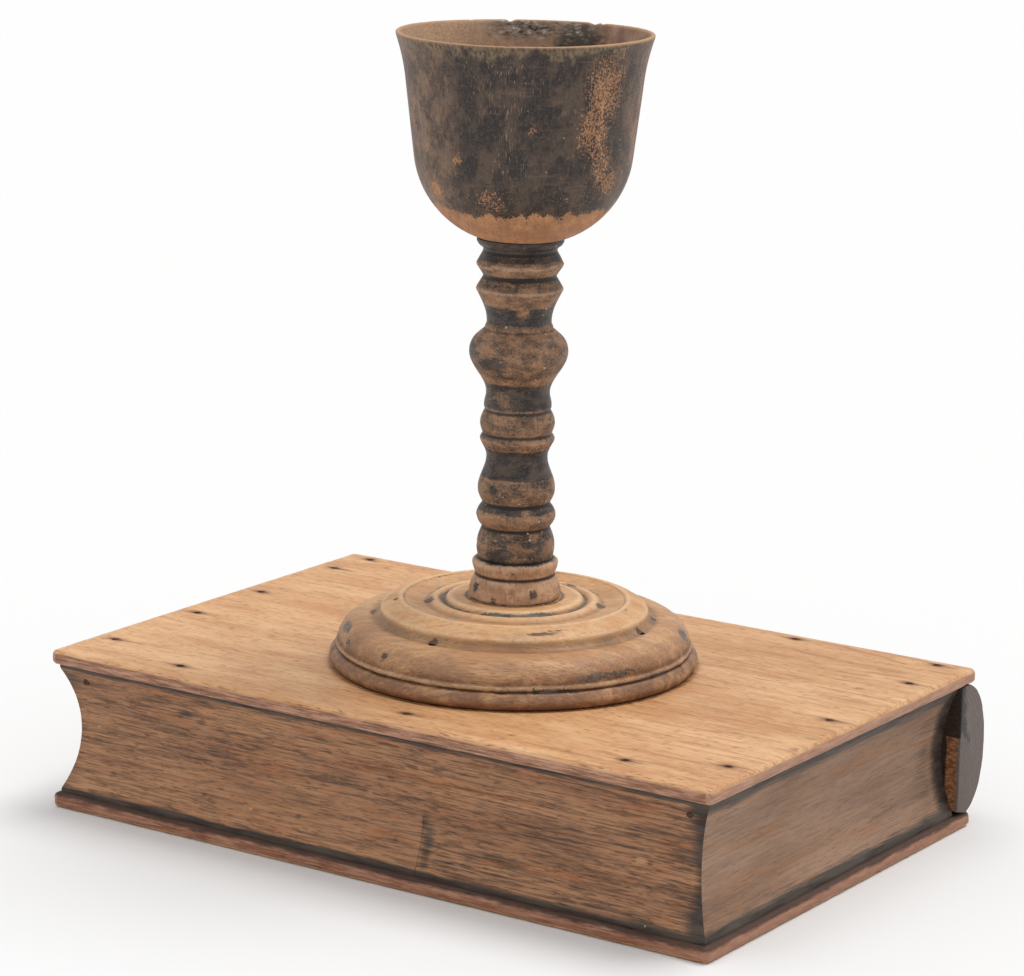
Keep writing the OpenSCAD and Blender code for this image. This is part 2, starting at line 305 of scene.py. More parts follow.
def new_tree(name, product, inputs):
    """A Geometry Nodes tree with its sockets, and its input and output nodes"""
    tree = bpy.data.node_groups.new(name, "GeometryNodeTree")
    for label, kind in inputs:
        tree.interface.new_socket(name=label, in_out="INPUT", socket_type="NodeSocket" + kind)
    tree.interface.new_socket(name=product, in_out="OUTPUT", socket_type="NodeSocketGeometry")
    return tree, tree.nodes.new("NodeGroupInput"), tree.nodes.new("NodeGroupOutput")

def lathe_tree():
    """Spins an outline, drawn in X and Y, about the vertical axis one unit in from its origin"""
    tree, given, result = new_tree("lathe", "Turned", (
        ("Outline", "Geometry"), ("Turns Cut", "Int"), ("Axis", "Vector"), ("Finish", "Material")))
    outline = tree.nodes.new("GeometryNodeMeshToCurve")
    circle = tree.nodes.new("GeometryNodeCurvePrimitiveCircle")
    circle.inputs["Radius"].default_value = 1.0
    spin = tree.nodes.new("GeometryNodeCurveToMesh")
    weld = tree.nodes.new("GeometryNodeMergeByDistance")
    weld.inputs["Distance"].default_value = 2e-6
    place = tree.nodes.new("GeometryNodeTransform")
    realize = tree.nodes.new("GeometryNodeRealizeInstances")
    coat = tree.nodes.new("GeometryNodeSetMaterial")
    for start, end in (
        (given.outputs["Outline"], outline.inputs["Mesh"]),
        (given.outputs["Turns Cut"], circle.inputs["Resolution"]),
        (circle.outputs["Curve"], spin.inputs["Curve"]),
        (outline.outputs["Curve"], spin.inputs["Profile Curve"]),
        (spin.outputs["Mesh"], weld.inputs["Geometry"]),
        (weld.outputs["Geometry"], place.inputs["Geometry"]),
        (given.outputs["Axis"], place.inputs["Translation"]),
        (place.outputs["Geometry"], realize.inputs["Geometry"]),
        (realize.outputs["Geometry"], coat.inputs["Geometry"]),
        (given.outputs["Finish"], coat.inputs["Material"]),
        (coat.outputs["Geometry"], result.inputs["Turned"]),
    ):
        tree.links.new(start, end)
    return tree


def set_inputs(modifier, values):
    """Sets a Geometry Nodes modifier's inputs by their names in the tree"""
    for item in modifier.node_group.interface.items_tree:
        if item.in_out == "INPUT" and item.name in values:
            modifier[item.identifier] = values[item.name]


def spin(name, outline, centre, steps, material, closed=False):
    """A turned piece from its outline"""
    points = [(r - 1.0, -z, 0.0) for r, z in outline]
    edges = [(i, i + 1) for i in range(len(points) - 1)]
    if closed:
        edges.append((len(points) - 1, 0))
    mesh = bpy.data.meshes.new(name)
    mesh.from_pydata(points, edges, [])
    piece = add_object(name, mesh)
    modifier = piece.modifiers.new("lathe", "NODES")
    modifier.node_group = TREES["lathe"]
    set_inputs(modifier, {"Turns Cut": steps, "Axis": (centre[0], centre[1], 0.0), "Finish": material})
    bake_modifier(piece)
    clean(piece.data, 2e-6)
    return piece


def polar(points, centre):
    x, y = points[:, 0] - centre[0], points[:, 1] - centre[1]
    return np.hypot(x, y), np.degrees(np.arctan2(y, x))


def proudness(points, centre, outline, reach):
    """How far each point stands out from its outline smoothed over reach, in millimetres"""
    steps = np.r_[0, np.cumsum(np.hypot(*np.diff(outline, axis=0).T))]
    even = np.arange(0, steps[-1], 0.5 * MM)
    line = np.stack([np.interp(even, steps, outline[:, k]) for k in (0, 1)], -1)
    width = max(1, round(reach / (0.5 * MM)))
    kernel = np.exp(-0.5 * (np.arange(-3 * width, 3 * width + 1) / width) ** 2)
    kernel /= kernel.sum()
    padded = np.pad(line, ((3 * width, 3 * width), (0, 0)), mode="edge")
    mean = np.stack([np.convolve(padded[:, k], kernel, "valid") for k in (0, 1)], -1)
    tangent = np.gradient(line, axis=0)
    outward = np.stack([tangent[:, 1], -tangent[:, 0]], -1)
    outward /= np.maximum(np.hypot(*outward.T), 1e-12)[:, None]
    stands = ((line - mean) * outward).sum(1) / MM
    r, _ = polar(points, centre)
    return lookup(np.stack([r, points[:, 2]], -1), line, stands)


def lookup(places, line, values):
    """The value of the line's nearest point, for each place"""
    tree = KDTree(len(line))
    for i, (a, b) in enumerate(line):
        tree.insert((a, b, 0), i)
    tree.balance()
    return np.array([values[tree.find((a, b, 0))[1]] for a, b in places])


def bands(height, wanted, edge=0.8 * MM):
    """1 inside each (low, high, strength) band of heights in millimetres, with soft edges"""
    total = np.zeros(len(height))
    for low, high, strength in wanted:
        inside = soft_step(low * MM - edge, low * MM + edge, height)
        inside = inside * (1 - soft_step(high * MM - edge, high * MM + edge, height))
        total = np.maximum(total, inside * strength)
    return total


def patches(angle, height, wanted):
    """Soft ovals, each (angle, height, half width in degrees, half height in mm, strength)"""
    total = np.zeros(len(height))
    for a, z, half_a, half_z, strength in wanted:
        far = np.hypot(turn_gap(angle, a) / half_a, (height - z * MM) / (half_z * MM))
        total = np.maximum(total, strength * (1 - soft_step(0.15, 1.35, far)))
    return total


def finish_piece(piece, slot, *nodes):
    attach(piece, BODY)
    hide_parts(*nodes)
    return piece


def centre_of(node):
    low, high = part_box(node)
    return (low.x + high.x) / 2, (low.y + high.y) / 2


def radius_at(node, height):
    """Widest radius of a turned node near a height"""
    points = points_of(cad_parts[node].data)
    radius, _ = polar(points, centre_of(node))
    return radius[np.abs(points[:, 2] - height) < 1.5 * MM].max()


# Nicks in the bowl's rim: angle, half width in degrees, depth in mm
RIM_NICKS = ((131, 2.2, 1.4), (90, 3.2, 1.1), (85, 1.6, 0.8), (150, 1.8, 0.3), (-64, 1.4, 0.25))

def make_bowl():
    low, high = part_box("bowl")
    centre = centre_of("bowl")
    outline = fair(section("bowl", centre), 1.05 * MM)
    piece = spin("bowl", outline, centre, 340, MATERIALS["bowl"])
    mesh = piece.data
    points = points_of(mesh)
    radius, angle = polar(points, centre)
    height = points[:, 2] - low.z
    rim = soft_step(high.z - 7 * MM, high.z - 1 * MM, points[:, 2])
    # The rim is a little wavy, and has V nicks, the deepest two at the back
    points[:, 2] += rim * 0.35 * MM * np.sin(np.radians(2 * angle + 40))
    for place, half, depth in RIM_NICKS:
        cut = np.clip(1 - np.abs(turn_gap(angle, place)) / half, 0, 1)
        points[:, 2] -= rim * cut * depth * MM
    set_points(mesh, points)
    # Shrinkage makes it slightly oval; small dings and a soft grain follow the height
    round_way = np.stack([np.cos(np.radians(angle)), np.sin(np.radians(angle)), 0 * angle], -1)
    oval = 0.35 * MM * np.cos(np.radians(2 * angle - 30)) * soft_step(20 * MM, 90 * MM, height)
    grain = wave(points, (3 * MM, 3 * MM, 40 * MM), 1) * 0.05 * MM
    dings = np.clip(wave(points, 9 * MM, 2) - 0.45, 0, 1) * -0.5 * MM
    normal = normals_of(mesh)
    wall = radius > 30 * MM
    set_points(mesh, points + round_way * (oval * wall)[:, None] + normal * (grain + dings * wall)[:, None])
    sway = wave(round_way, 0.5, 61) * 3.4 + wave(round_way, 0.09, 62) * 2.4
    paint = soft_step(-1.6 * MM, 2.2 * MM, height - (18 + sway) * MM)
    worn = patches(angle, height, [
        (-14, 80, 17, 26, 0.57), (-19, 60, 14, 22, 0.56), (-12, 42, 11, 18, 0.48), (-92, 45, 5, 4, 0.7),
        (-116, 50, 6, 5, 0.5), (-112, 28, 8, 7, 0.7), (-128, 62, 7, 18, 0.42), (22, 60, 20, 40, 0.36),
        (-4, 33, 10, 11, 0.56), (-75, 25, 14, 8, 0.45), (-52, 62, 5, 5, 0.4), (100, 45, 26, 30, 0.5),
        (165, 70, 28, 24, 0.45)])
    tongues = patches(angle, height, [(-53, 17, 2.5, 6, 0.5), (-32, 17, 5, 5, 0.55), (-88, 17, 4, 4, 0.4)])
    inside = (radius < np.interp(height, outline_heights(outline, low.z), outline_radii(outline)) - 1.2 * MM)
    give_value(mesh, "paint", np.clip(paint - worn + tongues, 0, 1))
    left = soft_step(-86, -104, turn_gap(angle, 0)) * (angle < 0)
    right = soft_step(-8, 24, turn_gap(angle, 0)) * (turn_gap(angle, 0) < 100)
    give_value(mesh, "brown", np.clip(left + right, 0, 1))
    ragged = wave(round_way, 0.22, 63) * 8 + wave(points, (2.5 * MM, 2.5 * MM, 5 * MM), 64) * 3.5
    give_value(mesh, "band", soft_step(-1.5 * MM, 1.5 * MM, height - (98 + ragged) * MM))
    give_value(mesh, "inner", inside.astype(float))
    give_value(mesh, "flaky", patches(angle, height, [(122, 100, 24, 8, 1.0), (101, 99, 14, 7, 0.9)]))
    give_value(mesh, "soot", patches(angle, height, [(96, 92, 18, 14, 0.95), (112, 88, 12, 8, 0.5)]))
    give_value(mesh, "rim", soft_step(high.z - 1.6 * MM, high.z - 0.6 * MM, points[:, 2]))
    smooth(mesh, 60)
    return finish_piece(piece, "painted_wood", "bowl")


def outline_heights(outline, base):
    """Heights of the outside of an outline, from its lowest outer point to its top"""
    top = int(np.argmax(outline[:, 1]))
    start = int(np.argmin(np.abs(outline[:top, 0] - 21 * MM)))
    return outline[start:top + 1, 1] - base


def outline_radii(outline):
    top = int(np.argmax(outline[:, 1]))
    start = int(np.argmin(np.abs(outline[:top, 0] - 21 * MM)))
    return outline[start:top + 1, 0]


def make_stem():
    foot_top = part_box("foot")[1].z
    centre = centre_of("stem")
    outline = fair(section("stem", centre, 2.6 * MM), 0.55 * MM)
    outline = np.vstack([[0, outline[0][1]], outline, [0, outline[-1][1]]])
    piece = spin("stem", outline, centre, 132, MATERIALS["stem"])
    mesh = piece.data
    points = points_of(mesh)
    radius, angle = polar(points, centre)
    height = points[:, 2] - foot_top
    shown = (height > 1 * MM) & (height < 184 * MM)
    normal = normals_of(mesh)
    grain = wave(points, (1.6 * MM, 1.6 * MM, 22 * MM), 3) * 0.07 * MM
    dings = -np.clip(wave(points, 5 * MM, 4) - 0.35, 0, 1) * 0.6 * MM
    stands = proudness(points, centre, outline, 3 * MM)
    wear = -np.clip(wave(points, (7 * MM, 7 * MM, 4 * MM), 5), 0, 1) * 0.35 * MM * np.clip(stands, 0, 1)
    set_points(mesh, points + normal * ((grain + dings + wear) * shown)[:, None])
    paint = bands(height, [
        (178, 190, 1.3), (175, 178, 0.9), (171, 175, 0.36), (165.6, 167.6, 0.9), (160.8, 166, 0.46),
        (142.6, 152, 0.95),
        (140.6, 141.6, 0.5), (116, 136, 0.36), (99.4, 112.5, 0.78), (96.9, 98.4, 1), (86, 95.5, 0.34),
        (84.6, 86.4, 0.85), (78.8, 81, 0.5), (63.5, 78.5, 0.97), (51, 63, 0.36), (45.6, 50, 0.8),
        (38, 45, 0.24), (36.2, 37.8, 0.9), (29, 36.6, 0.56), (21, 29, 0.34), (20.1, 21.0, 0.9),
        (11.9, 12.6, 0.8), (0.6, 9, 0.1)], 1.0 * MM)
    # A near-black line along the stem's bottom, added to the paint value, is a painted shadow in the gap where the
    # stem meets the foot
    paint += soft_step(1.1 * MM, 0.5 * MM, height) * 1.4
    local = patches(angle, height, [
        (-150, 130, 40, 6, 0.5), (-92, 124, 26, 5, 0.55), (-80, 114, 18, 5, 0.4), (-72, 26, 26, 6, 0.4),
        (-96, 24, 18, 6, 0.35), (-25, 25, 14, 10, 0.3), (-32, 106, 42, 6, 0.35), (-93, 58, 10, 3, 0.45),
        (-32, 5.5, 8, 3, 0.8), (-118, 7, 7, 3, 0.75), (-84, 2.2, 6, 1.8, 0.75), (-62, 16.5, 9, 2, 0.5),
        (-12, 62, 30, 5, 0.35), (-20, 43, 14, 4, 0.45),
        (60, 24, 30, 8, 0.4), (120, 60, 40, 6, 0.4), (170, 125, 30, 8, 0.4)])
    rubbed = patches(angle, height, [
        (-52, 150.5, 16, 5, 0.7), (-80, 105, 22, 4, 0.4), (-25, 35, 8, 5, 0.5), (-40, 48, 8, 3, 0.7),
        (-60, 30, 12, 2, 0.4), (140, 148, 20, 6, 0.5)])
    give_value(mesh, "paint", np.clip(paint + local - rubbed, 0, 1.6))
    give_value(mesh, "proud", np.clip(0.5 + 0.5 * stands * (height < 180 * MM), 0, 1))
    give_value(mesh, "pale", 1 - soft_step(20 * MM, 22 * MM, height))
    smooth(mesh, 60)
    return finish_piece(piece, "painted_wood", "stem")


# Dents in the foot: angle, radius, half width and depth in mm
FOOT_DENTS = ((-103, 88, 3.0, 1.1), (-141, 61, 2.4, 0.7), (-60, 91, 2.2, 0.5), (12, 89, 3.2, 0.8),
              (-20, 66, 2.5, 0.5))

def make_foot():
    low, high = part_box("foot")
    centre = centre_of("foot")
    outline = fair(section("foot", centre), 0.65 * MM)
    piece = spin("foot", outline, centre, 300, MATERIALS["foot"], closed=True)
    mesh = piece.data
    points = points_of(mesh)
    radius, angle = polar(points, centre)
    height = points[:, 2] - low.z
    normal = normals_of(mesh)
    shown = (height > 0.5 * MM) & (radius > 25 * MM)
    grain = wave(points, (30 * MM, 2.6 * MM, 2.6 * MM), 6) * 0.07 * MM
    dings = -np.clip(wave(points, 6 * MM, 7) - 0.42, 0, 1) * 0.9 * MM
    moved = points + normal * ((grain + dings) * shown)[:, None]
    for a, r, half, depth in FOOT_DENTS:
        place = np.array([centre[0] + r * MM * math.cos(math.radians(a)),
                          centre[1] + r * MM * math.sin(math.radians(a))])
        far = np.hypot(*(moved[:, :2] - place).T) / (half * MM)
        moved[:, 2] -= np.exp(-far**2) * depth * MM * (height > 8 * MM)
    set_points(mesh, moved)
    nails = nail_places("foot_nails", 2)
    carve(piece, [drill(p, (0, 0, -1), NAIL_HEAD * 1.05, 2.6 * MM) for p in lifted(nails, NAIL_SUNK)])
    clean(piece.data, 1e-7)
    mesh = piece.data
    points = points_of(mesh)
    radius, angle = polar(points, centre)
    height = points[:, 2] - low.z
    stands = proudness(points, centre, outline, 1.5 * MM)
    sunk = np.clip(-stands * 2.4, 0, 1) * (height > 1 * MM)
    # Residue round each groove: radius, height, half width in mm, strength, seed
    rings = [(90.8, 9.2, 1.0, 0.55, 0), (74.5, 24.2, 2.6, 0.34, 1), (56.6, 33.4, 0.9, 0.55, 2),
             (46.2, 31.7, 2.6, 0.4, 3), (36.6, 32.6, 1.6, 0.72, 4), (24.2, 35.0, 1.0, 0.7, 5)]
    residue = np.zeros(len(points))
    for r, z, half, strength, seed in rings:
        near = np.exp(-(((radius / MM - r) ** 2 + (height / MM - z) ** 2) / half**2))
        patchy = soft_step(-0.35, 0.5, wave(np.stack([angle / 14, 0 * angle, 0 * angle + seed], -1), 1.0, 8))
        residue = np.maximum(residue, near * strength * (0.45 + 0.75 * patchy))
    # Spots of residue: angle, radius, height, half width in degrees, half width in mm, strength
    spots = [(-142, 44, 32, 9, 3.4, 0.95), (-150, 38, 33, 10, 2, 0.7), (-137, 86, 20, 7, 3, 0.9),
             (-126, 89, 17, 4, 2.4, 0.7), (25, 87.5, 19, 5, 4, 0.95), (-148, 72.5, 24, 5, 2.4, 0.8),
             (30, 71.4, 24.6, 5, 2.4, 0.9), (23, 44.6, 31.9, 6, 3, 0.95), (14, 60, 33, 2.5, 1.6, 0.6),
             (-25, 90, 15, 18, 1.8, 0.75), (-45, 91, 9.4, 16, 1.4, 0.8), (-5, 91, 9.4, 10, 1.4, 0.8),
             (-140, 92, 6, 6, 4, 0.7), (78, 40, 33.5, 9, 2.4, 0.8), (-66, 36, 33, 20, 1.5, 1.15),
             (-36, 36, 33, 16, 1.9, 1.1), (-150, 37, 33, 16, 2.2, 1.0), (50, 36, 33, 12, 2.0, 0.9),
             (110, 74, 24, 10, 3, 0.8), (150, 88, 18, 9, 3, 0.8),
             (175, 45, 32, 12, 3, 0.8), (80, 91, 10, 12, 2, 0.8)]
    for a, r, z, half_a, half, strength in spots:
        far = ((turn_gap(angle, a) / half_a) ** 2 + ((radius / MM - r) / half) ** 2
               + ((height / MM - z) / (half + 1.5)) ** 2)
        residue = np.maximum(residue, 1.2 * strength * np.exp(-far))
    dark = np.zeros(len(points))
    # Dark marks: angle, radius, half width in degrees, half width in mm, strength
    marks = ((-44, 65, 11, 1.6, 0.85), (-36, 63.4, 8, 1.0, 0.7), (-60, 66, 8, 0.9, 0.4),
             (-103, 88, 1.8, 2.2, 0.9), (-141, 61, 2.6, 1.8, 0.9), (-50, 84, 10, 1.0, 0.25),
             (-96, 82, 14, 1.2, 0.2))
    for a, r, half_a, half, strength in marks:
        dark = np.maximum(dark, strength * np.exp(-(turn_gap(angle, a) / half_a) ** 2
                                                  - ((radius / MM - r) / half) ** 2) * (height > 9 * MM))
    for x, y, z in nails:
        far = np.hypot(points[:, 0] - x, points[:, 1] - y) / MM
        dark = np.maximum(dark, np.exp(-(far / 3.0) ** 4) * 0.95)
    collar = (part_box("foot")[1].z - low.z) / MM
    stem_foot = radius_at("stem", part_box("foot")[1].z + 0.6 * MM) / MM
    # A dark ring where the stem stands on the foot, and a dark line round the foot's lowest edge, are painted
    # shadows in the gaps
    joint = np.exp(-((radius / MM - stem_foot - 0.3) / 0.9) ** 2)
    dark = np.maximum(dark, 1.3 * joint * (height / MM > collar - 3))
    dark = np.maximum(dark, 1.2 * soft_step(1.5 * MM, 0.5 * MM, height) * (radius > 85 * MM))
    give_value(mesh, "residue", residue)
    give_value(mesh, "dark", dark)
    give_value(mesh, "sunk", sunk)
    proud = np.clip(stands * 2.8 - 0.15, 0, 1) * soft_step(4 * MM, 24 * MM, height + 6 * MM)
    give_value(mesh, "proud", proud)
    smooth(mesh, 50)
    return finish_piece(piece, "foot_wood", "foot")


# Nails


def nail_places(node, axis):
    """Middle of each nail's outer end, from the loose parts of a node of nails. axis is their run"""
    net = bmesh.new()
    net.from_mesh(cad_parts[node].data)
    bmesh.ops.remove_doubles(net, verts=net.verts, dist=2e-6)
    places, seen = [], set()
    for start in net.verts:
        if start.index in seen:
            continue
        group, edge_of = [], [start]
        seen.add(start.index)
        while edge_of:
            v = edge_of.pop()
            group.append(v.co.copy())
            for e in v.link_edges:
                o = e.other_vert(v)
                if o.index not in seen:
                    seen.add(o.index)
                    edge_of.append(o)
        co = np.array(group)
        cross = [k for k in range(3) if k != axis]
        low, high = co.min(0), co.max(0)
        widest = [np.ptp(co[np.abs(co[:, axis] - end) < 0.3 * MM][:, cross[0]])
                  for end in (low[axis], high[axis])]
        head = low if widest[0] > widest[1] else high
        place = (low + high) / 2
        place[axis] = head[axis]
        places.append(tuple(place))
    net.free()
    return sorted(places)


def lifted(places, by, axis=2):
    out = []
    for place in places:
        moved = list(place)
        moved[axis] += by
        out.append(tuple(moved))
    return out


def nail_tree():
    """Drives one cut nail at each point: a rough head, a square shank and a point"""
    tree, given, result = new_tree("driven_nails", "Nails", (
        ("Places", "Geometry"), ("Drive", "Vector"), ("Head Radius", "Float"), ("Length", "Float"),
        ("Seed", "Int"), ("Finish", "Material")))
    new = tree.nodes.new
    head_t = 1 * MM

    def share(value, part):
        times = new("ShaderNodeMath")
        times.operation = "MULTIPLY"
        tree.links.new(value, times.inputs[0])
        times.inputs[1].default_value = part
        return times.outputs[0]

    head = new("GeometryNodeMeshCone")
    head.inputs["Vertices"].default_value = 11
    head.inputs["Depth"].default_value = head_t
    head.inputs["Side Segments"].default_value = 2
    tree.links.new(given.outputs["Head Radius"], head.inputs["Radius Bottom"])
    tree.links.new(share(given.outputs["Head Radius"], 0.93), head.inputs["Radius Top"])
    shank = new("GeometryNodeMeshCone")
    shank.inputs["Vertices"].default_value = 4
    tree.links.new(given.outputs["Length"], shank.inputs["Depth"])
    tree.links.new(share(given.outputs["Head Radius"], 0.62), shank.inputs["Radius Bottom"])
    tree.links.new(share(given.outputs["Head Radius"], 0.2), shank.inputs["Radius Top"])
    sink = new("GeometryNodeTransform")
    sink.inputs["Translation"].default_value = (0, 0, head_t * 0.8)
    tree.links.new(shank.outputs["Mesh"], sink.inputs["Geometry"])
    nail = new("GeometryNodeJoinGeometry")
    tree.links.new(head.outputs["Mesh"], nail.inputs["Geometry"])
    tree.links.new(sink.outputs["Geometry"], nail.inputs["Geometry"])
    spin_by = new("FunctionNodeRandomValue")
    spin_by.data_type = "FLOAT_VECTOR"
    spin_by.inputs["Min"].default_value = (-0.06, -0.06, 0.0)
    spin_by.inputs["Max"].default_value = (0.06, 0.06, 6.28)
    tree.links.new(given.outputs["Seed"], spin_by.inputs["Seed"])
    own = new("FunctionNodeEulerToRotation")
    tree.links.new(spin_by.outputs["Value"], own.inputs["Euler"])
    drive = new("FunctionNodeEulerToRotation")
    tree.links.new(given.outputs["Drive"], drive.inputs["Euler"])
    turn = new("FunctionNodeRotateRotation")
    turn.rotation_space = "LOCAL"
    tree.links.new(drive.outputs["Rotation"], turn.inputs["Rotation"])
    tree.links.new(own.outputs["Rotation"], turn.inputs["Rotate By"])
    place = new("GeometryNodeInstanceOnPoints")
    tree.links.new(given.outputs["Places"], place.inputs["Points"])
    tree.links.new(nail.outputs["Geometry"], place.inputs["Instance"])
    tree.links.new(turn.outputs["Rotation"], place.inputs["Rotation"])
    realize = new("GeometryNodeRealizeInstances")
    tree.links.new(place.outputs["Instances"], realize.inputs["Geometry"])
    coat = new("GeometryNodeSetMaterial")
    tree.links.new(realize.outputs["Geometry"], coat.inputs["Geometry"])
    tree.links.new(given.outputs["Finish"], coat.inputs["Material"])
    tree.links.new(coat.outputs["Geometry"], result.inputs["Nails"])
    return tree


def make_nails(node, axis, drive, seed):
    """The nails of one node, in their places, with their heads' outer faces where the node has them"""
    low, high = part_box(node)
    length = (high - low)[axis] - 1.4 * MM
    mesh = bpy.data.meshes.new(node)
    mesh.from_pydata(nail_places(node, axis), [], [])
    piece = add_object(node, mesh)
    modifier = piece.modifiers.new("nails", "NODES")
    modifier.node_group = TREES["nails"]
    set_inputs(modifier, {"Drive": drive, "Head Radius": NAIL_HEAD * 0.96, "Length": length, "Seed": seed,
                          "Finish": MATERIALS["iron"]})
    bake_modifier(piece)
    return finish_piece(piece, "iron", node)


# Boards


def net_stops(low, high, radius, step, turns=4):
    """Places of a net's lines along one axis: close together where an arris is rounded"""
    inner_low, inner_high = low + radius, high - radius
    rounding = [radius * math.tan(math.radians(45 * k / turns)) for k in range(turns, 0, -1)]
    count = max(1, round((inner_high - inner_low) / step))
    middle = [inner_low + (inner_high - inner_low) * k / count for k in range(count + 1)]
    return [inner_low - r for r in rounding] + middle + [inner_high + r for r in reversed(rounding)]


def rounded_board(name, low, high, radius, step):
    """A board as a net of even faces, with all its arrises rounded"""
    stops = [net_stops(low[k], high[k], radius, step) for k in range(3)]
    points, faces = [], []
    for axis in range(3):
        across, along = [k for k in range(3) if k != axis]
        for end in (low[axis], high[axis]):
            start = len(points)
            for a in stops[across]:
                for b in stops[along]:
                    p = [0.0, 0.0, 0.0]
                    p[axis], p[across], p[along] = end, a, b
                    points.append(p)
            n = len(stops[along])
            for i in range(len(stops[across]) - 1):
                for j in range(n - 1):
                    c = start + i * n + j
                    faces.append([c, c + 1, c + n + 1, c + n])
    points = np.array(points)
    inner = np.clip(points, np.array(low) + radius, np.array(high) - radius)
    away = points - inner
    points = inner + radius * away / np.linalg.norm(away, axis=1)[:, None]
    mesh = mesh_from(name, points, faces)
    clean(mesh, 1e-5)
    return add_object(name, mesh)


def stretched(points, x, y, long, wide, turn=0):
    """1 at a place on a board, fading over an oval that is long along the grain"""
    c, s = math.cos(math.radians(turn)), math.sin(math.radians(turn))
    dx, dy = points[:, 0] - x * MM, points[:, 1] - y * MM
    u, v = (dx * c + dy * s) / (long * MM), (dy * c - dx * s) / (wide * MM)
    return np.exp(-(u * u + v * v))


def make_top_cover():
    low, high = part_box("top_cover")
    piece = rounded_board("top_cover", low, high, COVER_ROUND, 1.9 * MM)
    mesh = piece.data
    points = points_of(mesh)
    normal = normals_of(mesh)
    near_edge = np.minimum(high.x - np.abs(points[:, 0]), high.y - np.abs(points[:, 1])) / MM
    edge = np.exp(-(near_edge / 4) ** 2)
    sway = wave(points, (120 * MM, 60 * MM, 60 * MM), 11) * 0.10 * MM
    rough = wave(points, (14 * MM, 6 * MM, 3 * MM), 12) * 0.12 * MM * edge
    chips = -np.clip(wave(points, (7 * MM, 5 * MM, 5 * MM), 13) - 0.55, 0, 1) * 1.2 * MM * edge
    grain = wave(points, (40 * MM, 3.4 * MM, 3.4 * MM), 14) * 0.035 * MM
    points += normal * (np.clip(sway + rough + grain, -1, 0.12 * MM) + chips)[:, None]
    points[:, 2] -= 0.5 * MM * (stretched(points, 197, -51, 3, 2) + stretched(points, 194, -31, 4, 1.5)) * (
        points[:, 2] > high.z - 4 * MM)
    set_points(mesh, points)
    nails = nail_places("top_cover_nails", 2)
    cutters = [drill(p, (0, 0, -1), NAIL_HEAD * 1.02, 2.2 * MM) for p in lifted(nails, NAIL_SUNK)]
    cutters.append(drill((*centre_of("stem"), high.z + 0.2 * MM), (0, 0, -1), TENON_RADIUS, 10 * MM, 48))
    for x, y, dx, dy, width, depth in (
        (170, 60, 3.6, 1.0, 0.7, 1.0), (170, 60, -2.2, 2.6, 0.6, 0.8), (170, 60, -1.4, -3.0, 0.6, 0.8),
        (120, 24, 11, -1.2, 0.35, 0.5), (92, 34, -9, 1.0, 0.3, 0.5), (150, -8, 12, -1.0, 0.3, 0.5),
        (66, -62, 9, -0.6, 0.3, 0.4), (-60, -88, 13, -1.0, 0.3, 0.4), (60, 100, 14, -0.6, 0.35, 0.5),
        (128, 96, 9, 0.8, 0.4, 0.6),
    ):
        start = (x * MM, y * MM, high.z)
        end = ((x + dx) * MM, (y + dy) * MM, high.z)
        cutters.append(crack(start, end, (0, 0, 1), width * MM, depth * MM))
    carve(piece, cutters)
    mesh = piece.data
    points = points_of(mesh)
    on_top = points[:, 2] > high.z - 1.5 * MM
    stain_and_shadow = np.zeros(len(points))
    for x, y, z in nails:
        stain_and_shadow = np.maximum(stain_and_shadow, stretched(points, x / MM, y / MM, 7.0, 3.5))
        stain_and_shadow = np.maximum(stain_and_shadow, 0.66 * stretched(points, x / MM + 2, y / MM, 14, 3.0, 3))
    stain_and_shadow = np.maximum(stain_and_shadow, 0.9 * stretched(points, -183, 130, 6, 1.8))
    for x, y, long, wide, strength in ((-125, -42, 3.2, 1.8, 0.7), (-125, -42, 12, 3, 0.25), (197, -51, 3, 2, 0.7),
                                       (170, 60, 3, 3, 0.5), (-176, 30, 26, 3, 0.2), (-150, 62, 20, 3, 0.25),
                                       (-70, 92, 30, 4, 0.25), (-115, 40, 22, 4, 0.2), (40, -96, 30, 3, 0.14),
                                       (120, 28, 28, 3, 0.22), (150, -12, 22, 2, 0.2), (90, 60, 30, 3, 0.15),
                                       (-30, -100, 24, 2, 0.16), (168, 100, 14, 3, 0.3)):
        stain_and_shadow = np.maximum(stain_and_shadow, strength * stretched(points, x, y, long, wide, -3))
    # A dark ring round the foot's base is a painted contact shadow, kept with the stains
    foot_edge = radius_at("foot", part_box("foot")[0].z + 1 * MM)
    from_foot, _ = polar(points, centre_of("foot"))
    stain_and_shadow = np.maximum(stain_and_shadow, 0.8 * np.exp(-((from_foot - foot_edge - 0.4 * MM) / (1.2 * MM)) ** 2))
    give_value(mesh, "stain_and_shadow", stain_and_shadow * on_top)
    give_value(mesh, "green", stretched(points, 194, -31, 2.6, 1.6) * on_top)
    middle = (points[:, 2] - low.z) / (high.z - low.z)
    give_value(mesh, "arris", 1 - soft_step(0.58, 0.92, middle))
    smooth(mesh, 40)
    return finish_piece(piece, "cover_wood", "top_cover")


